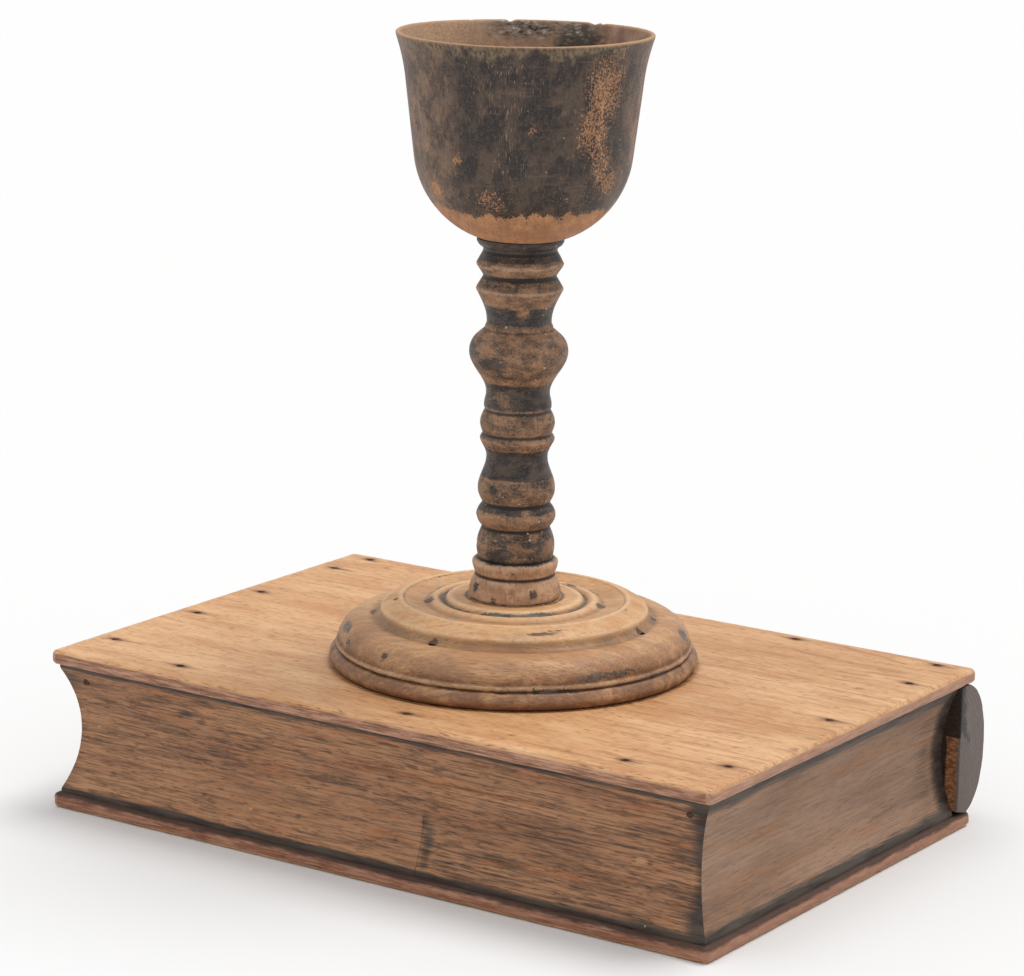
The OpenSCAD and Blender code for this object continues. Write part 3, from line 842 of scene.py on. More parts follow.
def make_bottom_cover():
    low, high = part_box("bottom_cover")
    piece = rounded_board("bottom_cover", low, high, COVER_ROUND, 2.2 * MM)
    mesh = piece.data
    points = points_of(mesh)
    normal = normals_of(mesh)
    near_edge = np.minimum(high.x - np.abs(points[:, 0]), high.y - np.abs(points[:, 1])) / MM
    edge = np.exp(-(near_edge / 4) ** 2)
    rough = wave(points, (8 * MM, 4 * MM, 3 * MM), 21) * 0.3 * MM * edge
    chips = -np.clip(wave(points, (9 * MM, 5 * MM, 5 * MM), 22) - 0.42, 0, 1) * 1.8 * MM * edge
    lift = normal * (np.clip(rough, -1, 0.1 * MM) + chips)[:, None]
    flat = points[:, 2] < low.z + 0.3 * MM
    lift[flat, 2] = 0
    set_points(mesh, points + lift)
    nails = nail_places("bottom_cover_nails", 2)
    carve(piece, [drill(p, (0, 0, 1), NAIL_HEAD * 1.02, 2.2 * MM) for p in lifted(nails, -NAIL_SUNK)])
    mesh = piece.data
    points = points_of(mesh)
    stain_and_shadow = np.zeros(len(points))
    for x, y, z in nails:
        stain_and_shadow = np.maximum(stain_and_shadow, stretched(points, x / MM, y / MM, 5, 2.6))
    give_value(mesh, "stain_and_shadow", stain_and_shadow * (points[:, 2] < low.z + 2 * MM))
    give_value(mesh, "green", np.zeros(len(points)))
    give_value(mesh, "arris", soft_step(0.6 * MM, 2.4 * MM, points[:, 2] - low.z))
    smooth(mesh, 40)
    return finish_piece(piece, "cover_wood", "bottom_cover")


def loft(name, rings):
    """A closed skin over rings of points that all have the same count, with flat ends"""
    count, around = len(rings), len(rings[0])
    faces = []
    for i in range(count - 1):
        for j in range(around):
            k = (j + 1) % around
            faces.append([i * around + j, i * around + k, (i + 1) * around + k, (i + 1) * around + j])
    faces.append(list(range(around)))
    faces.append([(count - 1) * around + j for j in range(around)])
    mesh = mesh_from(name, np.vstack(rings), faces)
    clean(mesh, 1e-7)
    return add_object(name, mesh)


def hollow_section(tall, depth, step):
    """Section of a page-edge board as (depth from its face, height) points, face first"""
    half = tall / 2
    chord = half - HOLLOW_FLAT
    radius = (chord * chord + HOLLOW_DEPTH**2) / (2 * HOLLOW_DEPTH)
    heights = np.linspace(-half, half, round(tall / step) + 1)
    inside = np.clip(radius**2 - heights**2, 0, None)
    face = np.where(np.abs(heights) < chord, np.sqrt(inside) - (radius - HOLLOW_DEPTH), 0)
    back = np.linspace(half, -half, 6)
    points = [(d, h) for d, h in zip(face, heights)]
    return points + [(depth, h) for h in back]


def page_board(name, length, low_z, tall, depth, mitre_start, mitre_end, step=1.3 * MM):
    """A page-edge board along X with its face at y = 0, facing -Y"""
    shape = hollow_section(tall, depth, step)
    count = round(length / (1.6 * MM))
    rings = []
    for k in range(count + 1):
        t = k / count
        ring = []
        for d, h in shape:
            start = d if mitre_start else 0.0
            end = length - (d if mitre_end else 0.0)
            ring.append((start + (end - start) * t, d, low_z + tall / 2 + h))
        rings.append(ring)
    return loft(name, rings)


def weather_page(mesh, seed, cuts=()):
    """Plane marks, grain and dings on a page-edge board lying along X"""
    points = points_of(mesh)
    normal = normals_of(mesh)
    grain = wave(points, (60 * MM, 5 * MM, 1.7 * MM), seed) * 0.09 * MM
    dings = -np.clip(wave(points, (14 * MM, 8 * MM, 4 * MM), seed + 1) - 0.5, 0, 1) * 0.8 * MM
    points += normal * (np.clip(grain, -0.2 * MM, 0.1 * MM) + dings)[:, None]
    for x, z, long, wide, depth in cuts:
        far = ((points[:, 0] - x * MM) / (long * MM)) ** 2 + ((points[:, 2] - z * MM) / (wide * MM)) ** 2
        points[:, 1] += np.exp(-far) * depth * MM * (points[:, 1] < points[:, 1].min() + 12 * MM)
    set_points(mesh, points)


def page_values(mesh, low, high, along, marks=(), ends=(1, 1), under=4.4, over=3.4):
    """Grime and painted shade along the covers and in the corners, dark marks and pale marks, for a page-edge
    board
    """
    points = points_of(mesh)
    run = points[:, along] / MM
    z = points[:, 2] / MM
    bottom, top = low.z / MM, high.z / MM
    # Dark bands by the covers and near the board's ends are grime and painted shade under the overhang and in the
    # corners
    grime_and_shade = np.maximum(1.1 * np.exp(-((z - bottom) / under) ** 2), 0.9 * np.exp(-((top - z) / over) ** 2))
    left, right = low[along] / MM, high[along] / MM
    for strength, far in zip(ends, (run - left, right - run)):
        grime_and_shade = np.maximum(grime_and_shade, strength * np.exp(-(np.clip(far - 2, 0, 1e3) / 12) ** 2))
    dark, pale = np.zeros(len(points)), np.zeros(len(points))
    for kind, x, height, long, wide, strength in marks:
        mark = strength * np.exp(-((run - x) / long) ** 2 - ((z - height) / wide) ** 2)
        if kind == "dark":
            dark = np.maximum(dark, mark)
        else:
            pale = np.maximum(pale, mark)
    give_value(mesh, "grime_and_shade", grime_and_shade)
    give_value(mesh, "dark", dark)
    give_value(mesh, "pale", pale)


def place_mesh(mesh, turn, shift):
    mesh.transform(Matrix.Translation(shift) @ Matrix.Rotation(math.radians(turn), 4, "Z"))
    mesh.update()


# Marks on the fore edge: kind, place along X and height, half length and half width in mm, strength
FORE_MARKS = (
    ("dark", -117, 63, 8, 3.5, 0.9), ("dark", -107, 60, 5, 3, 0.7), ("dark", -70, 58, 8, 3, 0.4),
    ("dark", 34, 20, 5, 17, 0.85), ("dark", 44, 17, 12, 5, 0.7), ("dark", 31, 34, 3, 6, 0.8),
    ("dark", 90, 40, 60, 4, 0.5), ("dark", 120, 30, 60, 3, 0.6), ("dark", 70, 25, 34, 2.5, 0.7),
    ("dark", 150, 46, 40, 3, 0.45), ("dark", 180, 36, 16, 26, 0.6), ("dark", 188, 58, 6, 20, 0.8),
    ("dark", -20, 44, 34, 3, 0.5), ("dark", -90, 46, 30, 3, 0.45), ("dark", -30, 30, 26, 2.5, 0.45),
    ("dark", 60, 52, 40, 2, 0.35), ("dark", 161, 38, 3.2, 3, 0.6), ("dark", 185, 69.5, 1.6, 1.6, 1.0),
    ("dark", -181, 69.5, 1.6, 1.6, 1.0), ("pale", 155, 39, 5, 2.2, 0.9), ("pale", -3, 43, 2.4, 1.6, 0.8),
    ("pale", -75, 21, 1.2, 0.9, 1.0), ("pale", -140, 40, 50, 16, 0.3),
    ("pale", 29, 27, 0.8, 5, 0.45), ("pale", 12, 16, 20, 9, 0.35),
    ("pale", 36, 31, 0.7, 1.5, 0.9), ("pale", 100, 62, 60, 6, 0.4), ("pale", -10, 66, 60, 3, 0.3),
    ("pale", 50, 57, 40, 4, 0.35))


def make_fore_edge():
    """The fore edge: the long board and the strip let into its lower left"""
    low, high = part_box("fore_edge_board")
    length, depth = high.x - low.x, high.y - low.y
    strip_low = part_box("fore_edge_strip")[0]
    base = min(low.z, strip_low.z)
    tall = high.z - base
    shift = (low.x, low.y, 0)
    far = 5 * MM
    pieces = []
    for name, operation, slack, seed in (("fore_edge_board", "DIFFERENCE", 0.12 * MM, 31),
                                         ("fore_edge_strip", "INTERSECT", -0.12 * MM, 37)):
        piece = page_board(name, length, base, tall, depth, True, True)
        place_mesh(piece.data, 0, shift)
        weather_page(piece.data, seed, [(156, 38, 5, 2.4, 1.4), (-117, 63, 5, 2, 0.5), (-3, 43, 2, 1.4, 0.6)])
        space = block((low.x - far, low.y - far, base - far),
                      (STRIP_END + slack, low.y + STRIP_DEPTH, base + STRIP_HEIGHT + slack * 0.1))
        carve(piece, [space], operation)
        pieces.append(piece)
    board, strip = pieces
    corner = nail_places("corner_nails", 1)
    carve(board, [drill(p, (0, 1, 0), NAIL_HEAD * 0.8, 2.4 * MM) for p in lifted(corner, -1.2 * MM, 1)])
    brads = nail_places("strip_brads", 1)
    carve(strip, [drill(p, (0, 1, 0), NAIL_HEAD, 2.0 * MM) for p in lifted(brads, -NAIL_SUNK, 1)])
    box_low = Vector((low.x, low.y, base))
    for piece, node in zip(pieces, ("fore_edge_board", "fore_edge_strip")):
        page_values(piece.data, box_low, high, 0, FORE_MARKS + tuple(
            ("dark", x / MM, z / MM, 2.6, 1.8, 0.7) for x, y, z in brads), (0.5, 1.0))
        give_value(piece.data, "repair", np.full(len(piece.data.vertices), float(piece is strip)))
        piece.data.materials.clear()
        piece.data.materials.append(MATERIALS["page_long"])
        smooth(piece.data, 35)
        finish_piece(piece, "page_wood", node)
    return pieces


def make_end_edge(node, side, seed):
    """The head or tail edge: mitred at the front, square against the spine"""
    low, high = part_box(node)
    length, depth = high.y - low.y, high.x - low.x
    piece = page_board(node, length, low.z, high.z - low.z, depth, side > 0, side < 0)
    weather_page(piece.data, seed)
    place_mesh(piece.data, 90 * side, (high.x, low.y, 0) if side > 0 else (low.x, high.y, 0))
    marks = (("dark", 96, 40, 14, 40, 0.5), ("dark", -100, 60, 22, 14, 0.3), ("dark", 20, 70, 90, 5, 0.4),
             ("dark", -60, 14, 40, 5, 0.4), ("pale", -30, 40, 50, 16, 0.35), ("pale", 50, 34, 40, 10, 0.3),
             ("pale", -126, 42, 1.6, 40, 0.9))
    page_values(piece.data, low, high, 1, marks, (0.35, 1.0), 6.0, 8.0)
    give_value(piece.data, "repair", np.zeros(len(piece.data.vertices)))
    piece.data.materials.append(MATERIALS["page_end"])
    smooth(piece.data, 35)
    return finish_piece(piece, "page_wood", node)


def make_spine():
    low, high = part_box("spine")
    half = (high.z - low.z) / 2
    reach = high.y - low.y
    full = half + SPINE_SPARE
    ring = [(0.0, h) for h in np.linspace(half, -half, 30)][:-1]
    for k in range(57):
        v = half * math.sin(math.radians(-90 + 180 * k / 56))
        ring.append((reach * (1 - (abs(v) / full) ** SPINE_FULL) ** (1 / SPINE_FULL), v))
    count = round((high.x - low.x) / (3 * MM))
    rings = [[(low.x + (high.x - low.x) * k / count, low.y + d, low.z + half + v) for d, v in ring]
             for k in range(count + 1)]
    piece = loft("spine", rings)
    bevel = piece.modifiers.new("arris", "BEVEL")
    bevel.width = 0.9 * MM
    bevel.segments = 3
    bevel.limit_method = "ANGLE"
    bevel.angle_limit = math.radians(50)
    bake_modifier(piece)
    mesh = piece.data
    points = points_of(mesh)
    normal = normals_of(mesh)
    grain = wave(points, (70 * MM, 4 * MM, 4 * MM), 51) * 0.16 * MM
    set_points(mesh, points + normal * np.clip(grain, -0.4 * MM, 0.05 * MM)[:, None])
    points = points_of(mesh)
    z, y = points[:, 2] / MM, points[:, 1] / MM
    # Darker near the covers above and below: grime and painted shade under their overhang
    grime_and_shade = np.maximum(np.exp(-((z - low.z / MM) / 4) ** 2), np.exp(-((high.z / MM - z) / 3) ** 2))
    give_value(mesh, "grime_and_shade", grime_and_shade)
    give_value(mesh, "end", (np.abs(points[:, 0]) > high.x - 1.2 * MM).astype(float))
    give_value(mesh, "rub", np.exp(-((y - 138) / 6) ** 2 - ((z - 56) / 16) ** 2))
    # On the front face, deep in the recess behind the tail board and near the top under the cover, it is near
    # black: painted shade
    front = soft_step(low.y + 1.6 * MM, low.y + 0.8 * MM, points[:, 1])
    inward = high.x / MM - np.abs(points[:, 0]) / MM
    give_value(mesh, "recess_shade", front * np.maximum(soft_step(48, 51, z), soft_step(5.5, 8.5, inward)))
    piece.data.materials.append(MATERIALS["spine"])
    smooth(mesh, 40)
    return finish_piece(piece, "spine_wood", "spine")


# Material helpers


def tone(code):
    """A linear colour from a six-digit screen colour"""
    parts = [int(code[k:k + 2], 16) / 255 for k in (0, 2, 4)]
    return tuple(c / 12.92 if c <= 0.04045 else ((c + 0.055) / 1.055) ** 2.4 for c in parts) + (1.0,)


def wire(tree, socket, value):
    if isinstance(value, bpy.types.NodeSocket):
        tree.links.new(value, socket)
    else:
        socket.default_value = value


def add_node(tree, kind, inputs=None, **settings):
    made = tree.nodes.new(kind)
    for name, value in settings.items():
        setattr(made, name, value)
    for key, value in (inputs or {}).items():
        wire(tree, made.inputs[key], value)
    return made


def reckon(tree, operation, *values, clamp=False):
    made = add_node(tree, "ShaderNodeMath", dict(enumerate(values)), operation=operation, use_clamp=clamp)
    return made.outputs[0]


def mix(tree, factor, a, b, kind="MIX"):
    made = add_node(tree, "ShaderNodeMix", {0: factor, 6: a, 7: b}, data_type="RGBA", blend_type=kind)
    return made.outputs[2]


def ease(tree, value, low, high, start=0.0, end=1.0):
    made = add_node(tree, "ShaderNodeMapRange", {0: value, 1: low, 2: high, 3: start, 4: end},
                interpolation_type="SMOOTHSTEP")
    return made.outputs[0]


def scaled(tree, vector, sizes, seed=0.0):
    """The vector in units of the given sizes, in millimetres along each axis"""
    made = add_node(tree, "ShaderNodeMapping", {"Vector": vector, "Scale": [1 / (s * MM) for s in sizes],
                                            "Location": (seed * 3.7, seed * 1.9, seed * 5.3)})
    return made.outputs[0]


def cloud(tree, vector, detail=3.0, rough=0.55, warp=0.0):
    made = add_node(tree, "ShaderNodeTexNoise", {"Vector": vector, "Scale": 1.0, "Detail": detail,
                                             "Roughness": rough, "Distortion": warp})
    return made.outputs["Fac"]


def value_of(tree, name):
    return add_node(tree, "ShaderNodeAttribute", attribute_name=name).outputs["Fac"]


def grain_vector(tree, along):
    """Object coordinates with X run along the grain"""
    place = add_node(tree, "ShaderNodeTexCoord").outputs["Object"]
    if along == "X":
        return place
    if along in ("Y", "Z"):
        return reorder(tree, place, {"Y": (1, 0, 2), "Z": (2, 0, 1)}[along])
    turned = add_node(tree, "ShaderNodeMapping", {"Vector": place, "Rotation": (0, 0, math.radians(along))})
    return turned.outputs[0]


def reorder(tree, vector, order):
    parts = add_node(tree, "ShaderNodeSeparateXYZ", {0: vector}).outputs
    return add_node(tree, "ShaderNodeCombineXYZ", {i: parts[k] for i, k in enumerate(order)}).outputs[0]


def group_shell(name, inputs, outputs):
    """An empty shader group with its sockets"""
    tree = bpy.data.node_groups.new(name, "ShaderNodeTree")
    for label, kind, value in inputs:
        socket = tree.interface.new_socket(name=label, in_out="INPUT", socket_type="NodeSocket" + kind)
        if kind == "Float":
            socket.default_value = value
    for label in outputs:
        tree.interface.new_socket(name=label, in_out="OUTPUT", socket_type="NodeSocketFloat")
    given = tree.nodes.new("NodeGroupInput").outputs
    result = tree.nodes.new("NodeGroupOutput").inputs
    return tree, given, result


def give_results(tree, result, values):
    for name, value in values.items():
        tree.links.new(value, result[name])
    return tree


def swing(tree, value, amount):
    """A noise value turned into a push of about -amount to amount"""
    return reckon(tree, "MULTIPLY", reckon(tree, "MULTIPLY_ADD", value, 3.0, -1.5), amount)


def grain_group():
    """Long grain: broad tone, growth lines, fine fibre and short dark pores"""
    tree, given, result = group_shell(
        "long_grain",
        [("Vector", "Vector", None), ("Figure Width", "Float", 7.0), ("Wander", "Float", 2.0),
         ("Seed", "Float", 0.0), ("Shortness", "Float", 1.0)],
        ["Tone", "Figure", "Fibre", "Pores"])
    shrink = add_node(tree, "ShaderNodeCombineXYZ", {0: given["Shortness"], 1: 1.0, 2: 1.0}).outputs[0]
    moved = add_node(tree, "ShaderNodeVectorMath", {0: given["Vector"], 1: shrink, 2: (0.37, 0.21, 0.53)},
                     operation="MULTIPLY_ADD")
    shift = add_node(tree, "ShaderNodeCombineXYZ", {0: given["Seed"], 1: given["Seed"]})
    place = add_node(tree, "ShaderNodeVectorMath", {0: moved.outputs[0], 1: shift.outputs[0]}, operation="ADD")
    place = place.outputs[0]
    broad = cloud(tree, scaled(tree, place, (120, 24, 24)), 4.0, 0.55)
    drift = cloud(tree, scaled(tree, place, (170, 34, 46), 2), 2.0, 0.45)
    wiggle = cloud(tree, scaled(tree, place, (22, 5, 5), 6), 2.0, 0.5)
    parts = add_node(tree, "ShaderNodeSeparateXYZ", {0: place}).outputs
    across = reckon(tree, "MULTIPLY_ADD", parts[2], 0.6, parts[1])
    rings = reckon(tree, "DIVIDE", reckon(tree, "MULTIPLY", across, 1000.0), given["Figure Width"])
    rings = reckon(tree, "ADD", rings, reckon(tree, "MULTIPLY", drift, given["Wander"]))
    rings = reckon(tree, "FRACT", reckon(tree, "MULTIPLY_ADD", wiggle, 0.7, rings))
    late = reckon(tree, "POWER", rings, 3.0)
    late = reckon(tree, "MULTIPLY", late, ease(tree, rings, 0.99, 0.9))
    uneven = cloud(tree, scaled(tree, place, (40, 3.2, 3.2), 4), 3.0, 0.6)
    figure = reckon(tree, "MULTIPLY", late, ease(tree, uneven, 0.38, 0.62))
    fibre = ease(tree, cloud(tree, scaled(tree, place, (22, 1.15, 1.15), 1), 3.0, 0.62), 0.32, 0.68)
    pores = ease(tree, cloud(tree, scaled(tree, place, (6, 0.6, 0.6), 3), 0.0, 0.5), 0.64, 0.74)
    return give_results(tree, result, {"Tone": broad, "Figure": figure, "Fibre": fibre, "Pores": pores})


def paint_group():
    """Where old paint still sits: a soft cover value broken up by patches, streaks along X and dots"""
    tree, given, result = group_shell(
        "ragged_paint",
        [("Vector", "Vector", None), ("Cover", "Float", 1.0), ("Patches", "Float", 0.2),
         ("Streaks", "Float", 0.2), ("Dots", "Float", 0.3)],
        ["Paint", "Soft"])
    place = given["Vector"]
    coarse = cloud(tree, scaled(tree, place, (8, 7, 7)), 4.0, 0.62)
    streak = cloud(tree, scaled(tree, place, (7, 1.1, 1.1), 1), 3.0, 0.6)
    dots = cloud(tree, scaled(tree, place, (1.15, 0.95, 0.95), 2), 2.0, 0.65)
    level = reckon(tree, "ADD", given["Cover"], swing(tree, coarse, given["Patches"]))
    level = reckon(tree, "ADD", level, swing(tree, streak, given["Streaks"]))
    level = reckon(tree, "ADD", level, swing(tree, dots, given["Dots"]))
    paint = ease(tree, level, 0.4, 0.6)
    soft = ease(tree, level, 0.1, 0.9)
    return give_results(tree, result, {"Paint": paint, "Soft": soft})


def marks_group():
    """Scattered small ragged marks of about one size in millimetres"""
    tree, given, result = group_shell(
        "small_marks", [("Vector", "Vector", None), ("Size", "Float", 1.0), ("Share", "Float", 0.3)],
        ["Marks"])
    warp = add_node(tree, "ShaderNodeTexNoise", {"Vector": given["Vector"], "Scale": 900.0, "Detail": 1.0})
    shove = {0: warp.outputs["Color"], 1: (0.0014,) * 3, 2: given["Vector"]}
    pushed = add_node(tree, "ShaderNodeVectorMath", shove, operation="MULTIPLY_ADD").outputs[0]
    sized = add_node(tree, "ShaderNodeVectorMath", {0: pushed, "Scale": 1000.0}, operation="SCALE").outputs[0]
    one = reckon(tree, "DIVIDE", 1.0, given["Size"])
    sized = add_node(tree, "ShaderNodeVectorMath", {0: sized, "Scale": one}, operation="SCALE").outputs[0]
    cells = add_node(tree, "ShaderNodeTexVoronoi", {"Vector": sized, "Scale": 1.0, "Randomness": 1.0})
    pick = add_node(tree, "ShaderNodeSeparateColor", {0: cells.outputs["Color"]}).outputs
    reach = reckon(tree, "MULTIPLY_ADD", pick[1], 0.16, 0.05)
    near = reckon(tree, "LESS_THAN", cells.outputs["Distance"], reach)
    chosen = reckon(tree, "LESS_THAN", pick[0], given["Share"])
    return give_results(tree, result, {"Marks": reckon(tree, "MULTIPLY", near, chosen)})


def use(tree, group, inputs):
    made = add_node(tree, "ShaderNodeGroup", node_tree=GROUPS[group])
    for name, value in inputs.items():
        wire(tree, made.inputs[name], value)
    return made.outputs


def new_material(name):
    material = bpy.data.materials.new(name)
    material.use_nodes = True
    tree = material.node_tree
    tree.nodes.clear()
    shader = tree.nodes.new("ShaderNodeBsdfPrincipled")
    out = tree.nodes.new("ShaderNodeOutputMaterial")
    tree.links.new(shader.outputs[0], out.inputs["Surface"])
    return material, tree, shader


def finish_shader(tree, shader, colour, rough, height, depth=0.3, strength=0.6):
    wire(tree, shader.inputs["Base Color"], colour)
    wire(tree, shader.inputs["Roughness"], rough)
    shader.inputs["Specular IOR Level"].default_value = 0.35
    bump = add_node(tree, "ShaderNodeBump", {"Height": height, "Strength": strength, "Distance": depth * MM})
    tree.links.new(bump.outputs[0], shader.inputs["Normal"])


def add_up(tree, *parts):
    """Sum of (value, weight) parts"""
    total = 0.0
    for value, weight in parts:
        total = reckon(tree, "MULTIPLY_ADD", value, weight, total)
    return total


def bowl_material():
    material, tree, shader = new_material("bowl_paint_and_wood")
    place = grain_vector(tree, "Z")
    grain = use(tree, "grain", {"Vector": place, "Figure Width": 5.0, "Wander": 1.2, "Seed": 0.11})
    cover, brown, band, inner = [value_of(tree, n) for n in ("paint", "brown", "band", "inner")]
    paint = use(tree, "paint", {"Vector": place, "Cover": cover, "Patches": 0.14, "Streaks": 0.16,
                                "Dots": 0.62})
    mottle = cloud(tree, scaled(tree, place, (16, 11, 11), 3), 5.0, 0.66)
    grit = cloud(tree, scaled(tree, place, (1.0, 0.8, 0.8), 5), 2.0, 0.7)
    wood = mix(tree, ease(tree, mottle, 0.35, 0.65), tone("9d7152"), tone("bb8a63"))
    wood = mix(tree, reckon(tree, "MULTIPLY", grain["Figure"], 0.5), wood, tone("70492f"))
    wood = mix(tree, ease(tree, grain["Fibre"], 0.4, 1.0, 0.0, 0.4), wood, tone("7b5539"))
    wood = mix(tree, ease(tree, grit, 0.5, 0.75, 0.0, 0.4), wood, tone("c49468"))
    black = mix(tree, ease(tree, mottle, 0.42, 0.62), tone("2b2625"), tone("57473b"))
    umber = mix(tree, ease(tree, mottle, 0.38, 0.62), tone("483930"), tone("7d6350"))
    film = mix(tree, brown, black, umber)
    coarse = cloud(tree, scaled(tree, place, (3.2, 1.6, 1.6), 14), 3.0, 0.7)
    thin = mix(tree, brown, tone("5f4c3d"), tone("93745a"))
    film = mix(tree, ease(tree, coarse, 0.52, 0.7, 0.0, 0.6), film, thin)
    dusty = mix(tree, brown, tone("62544a"), tone("8f7560"))
    film = mix(tree, ease(tree, grit, 0.46, 0.72, 0.0, 0.5), film, dusty)
    film = mix(tree, ease(tree, coarse, 0.46, 0.3, 0.0, 0.6), film, tone("252221"))
    rub = ease(tree, cloud(tree, scaled(tree, place, (1.2, 14, 14), 8), 3.0, 0.6), 0.55, 0.72, 0.0, 0.4)
    film = mix(tree, rub, film, tone("6d5a4c"))
    olive = mix(tree, ease(tree, coarse, 0.35, 0.62), tone("483b30"), tone("7f6c54"))
    film = mix(tree, band, film, olive)
    outside = mix(tree, paint["Paint"], wood, film)
    scratch = cloud(tree, scaled(tree, place, (11, 0.5, 0.5), 9), 1.0, 0.5)
    lines = ease(tree, scratch, 0.63, 0.71, 0.0, 0.7)
    broken = ease(tree, cloud(tree, scaled(tree, place, (20, 16, 16), 10), 2.0, 0.5), 0.42, 0.6)
    outside = mix(tree, reckon(tree, "MULTIPLY", lines, broken), outside, tone("9a8472"))
    specks = use(tree, "marks", {"Vector": place, "Size": 3.4, "Share": 0.09})["Marks"]
    outside = mix(tree, reckon(tree, "MULTIPLY", specks, 0.7), outside, tone("a08e80"))
    parts = add_node(tree, "ShaderNodeSeparateXYZ", {0: add_node(tree, "ShaderNodeTexCoord").outputs["Object"]})
    flaky = cloud(tree, scaled(tree, place, (1.8, 4.6, 4.6), 6), 5.0, 0.66)
    lining = mix(tree, ease(tree, mottle, 0.35, 0.65), tone("86685a"), tone("b19074"))
    # The lining is lighter on the left side of the view: a painted pool of light on the inner wall there
    tan = ease(tree, add_up(tree, (parts.outputs[0], -9.0), (parts.outputs[1], -6.0)), 0.0, 0.5, 0.0, 0.8)
    lining = mix(tree, tan, lining, mix(tree, ease(tree, grit, 0.35, 0.65), tone("a8886c"), tone("d0ae8c")))
    back = value_of(tree, "flaky")
    soot = reckon(tree, "ADD", value_of(tree, "soot"), swing(tree, flaky, 0.5))
    lining = mix(tree, ease(tree, soot, 0.3, 0.8, 0.0, 0.9), lining, tone("2d2823"))
    lining = mix(tree, reckon(tree, "MULTIPLY", back, 0.7), lining, tone("625b4c"))
    lining = mix(tree, reckon(tree, "MULTIPLY", ease(tree, flaky, 0.5, 0.6), back), lining, tone("a29e93"))
    lining = mix(tree, reckon(tree, "MULTIPLY", ease(tree, flaky, 0.6, 0.67), back), lining, tone("d0cfc8"))
    pits = reckon(tree, "MULTIPLY", ease(tree, flaky, 0.45, 0.39), back)
    lining = mix(tree, pits, lining, tone("2b2824"))
    colour = mix(tree, inner, outside, lining)
    rim = reckon(tree, "MULTIPLY", value_of(tree, "rim"), ease(tree, grit, 0.3, 0.5, 0.5, 1.0))
    colour = mix(tree, rim, colour, tone("b58c68"))
    rough = ease(tree, paint["Paint"], 0.0, 1.0, 0.72, 0.52)
    height = add_up(tree, (paint["Paint"], 0.3), (grain["Fibre"], 0.3), (lines, -0.5), (grit, 0.35),
                    (reckon(tree, "MULTIPLY", flaky, inner), 1.5))
    finish_shader(tree, shader, colour, rough, height, 0.28)
    return material


def stem_material():
    material, tree, shader = new_material("stem_paint_and_wood")
    place = grain_vector(tree, "Z")
    around = reorder(tree, place, (1, 0, 2))
    grain = use(tree, "grain", {"Vector": place, "Figure Width": 4.0, "Wander": 1.0, "Seed": 0.31})
    cover, proud, pale = [value_of(tree, n) for n in ("paint", "proud", "pale")]
    cover = reckon(tree, "MULTIPLY_ADD", ease(tree, proud, 0.5, 1.0), -0.16, cover)
    paint = use(tree, "paint", {"Vector": around, "Cover": cover, "Patches": 0.42, "Streaks": 0.3,
                                "Dots": 0.34})
    mottle = cloud(tree, scaled(tree, place, (5, 9, 9), 3), 4.0, 0.65)
    grit = cloud(tree, scaled(tree, place, (0.8, 1.2, 1.2), 5), 2.0, 0.7)
    wood = mix(tree, ease(tree, mottle, 0.38, 0.62), tone("5a4637"), tone("a17c5f"))
    ginger = cloud(tree, scaled(tree, place, (3.0, 7, 7), 6), 3.0, 0.6)
    wood = mix(tree, ease(tree, ginger, 0.52, 0.68, 0.0, 0.7), wood, tone("a06c45"))
    smoky = cloud(tree, scaled(tree, place, (2.4, 6, 6), 11), 4.0, 0.65)
    wood = mix(tree, ease(tree, smoky, 0.52, 0.7, 0.0, 0.75), wood, tone("57504a"))
    clear = mix(tree, ease(tree, mottle, 0.35, 0.65), tone("a97f60"), tone("cfa683"))
    wood = mix(tree, reckon(tree, "MULTIPLY", pale, 0.92), wood, clear)
    wood = mix(tree, ease(tree, grit, 0.42, 0.7, 0.0, 0.5), wood, tone("b08c6c"))
    wood = mix(tree, ease(tree, grain["Fibre"], 0.5, 1.0, 0.0, 0.35), wood, tone("5d4536"))
    black = mix(tree, ease(tree, mottle, 0.4, 0.62), tone("262527"), tone("51443b"))
    black = mix(tree, ease(tree, ginger, 0.56, 0.7, 0.0, 0.5), black, tone("6e5646"))
    black = mix(tree, ease(tree, grit, 0.45, 0.72, 0.0, 0.55), black, tone("66574c"))
    veil = mix(tree, ease(tree, smoky, 0.4, 0.62), tone("4a4038"), tone("6b5848"))
    colour = mix(tree, reckon(tree, "MULTIPLY", paint["Soft"], 0.8), wood, veil)
    full = reckon(tree, "MULTIPLY", paint["Paint"], ease(tree, paint["Soft"], 0.4, 0.9, 0.35, 1.0))
    colour = mix(tree, full, colour, black)
    # Paler on the ridges: rubbed wear and a painted highlight
    ridge_wear_and_highlight = ease(tree, proud, 0.72, 0.98)
    rubbed = reckon(tree, "MULTIPLY", ridge_wear_and_highlight, ease(tree, smoky, 0.6, 0.42))
    colour = mix(tree, reckon(tree, "MULTIPLY", rubbed, 0.6), colour, tone("bd9c82"))
    # Near black where the surface sinks below its outline: painted shade in the grooves
    colour = mix(tree, ease(tree, proud, 0.32, 0.06, 0.0, 0.92), colour, tone("1c1714"))
    specks = use(tree, "marks", {"Vector": place, "Size": 3.2, "Share": 0.12})["Marks"]
    colour = mix(tree, reckon(tree, "MULTIPLY", specks, 0.75), colour, tone("c8bcb2"))
    rough = ease(tree, paint["Paint"], 0.0, 1.0, 0.6, 0.46)
    turned = cloud(tree, scaled(tree, place, (0.55, 30, 30), 12), 1.0, 0.5)
    height = add_up(tree, (paint["Paint"], 0.4), (grain["Fibre"], 0.35), (grit, 0.3), (turned, 0.4))
    finish_shader(tree, shader, colour, rough, height, 0.28)
    return material


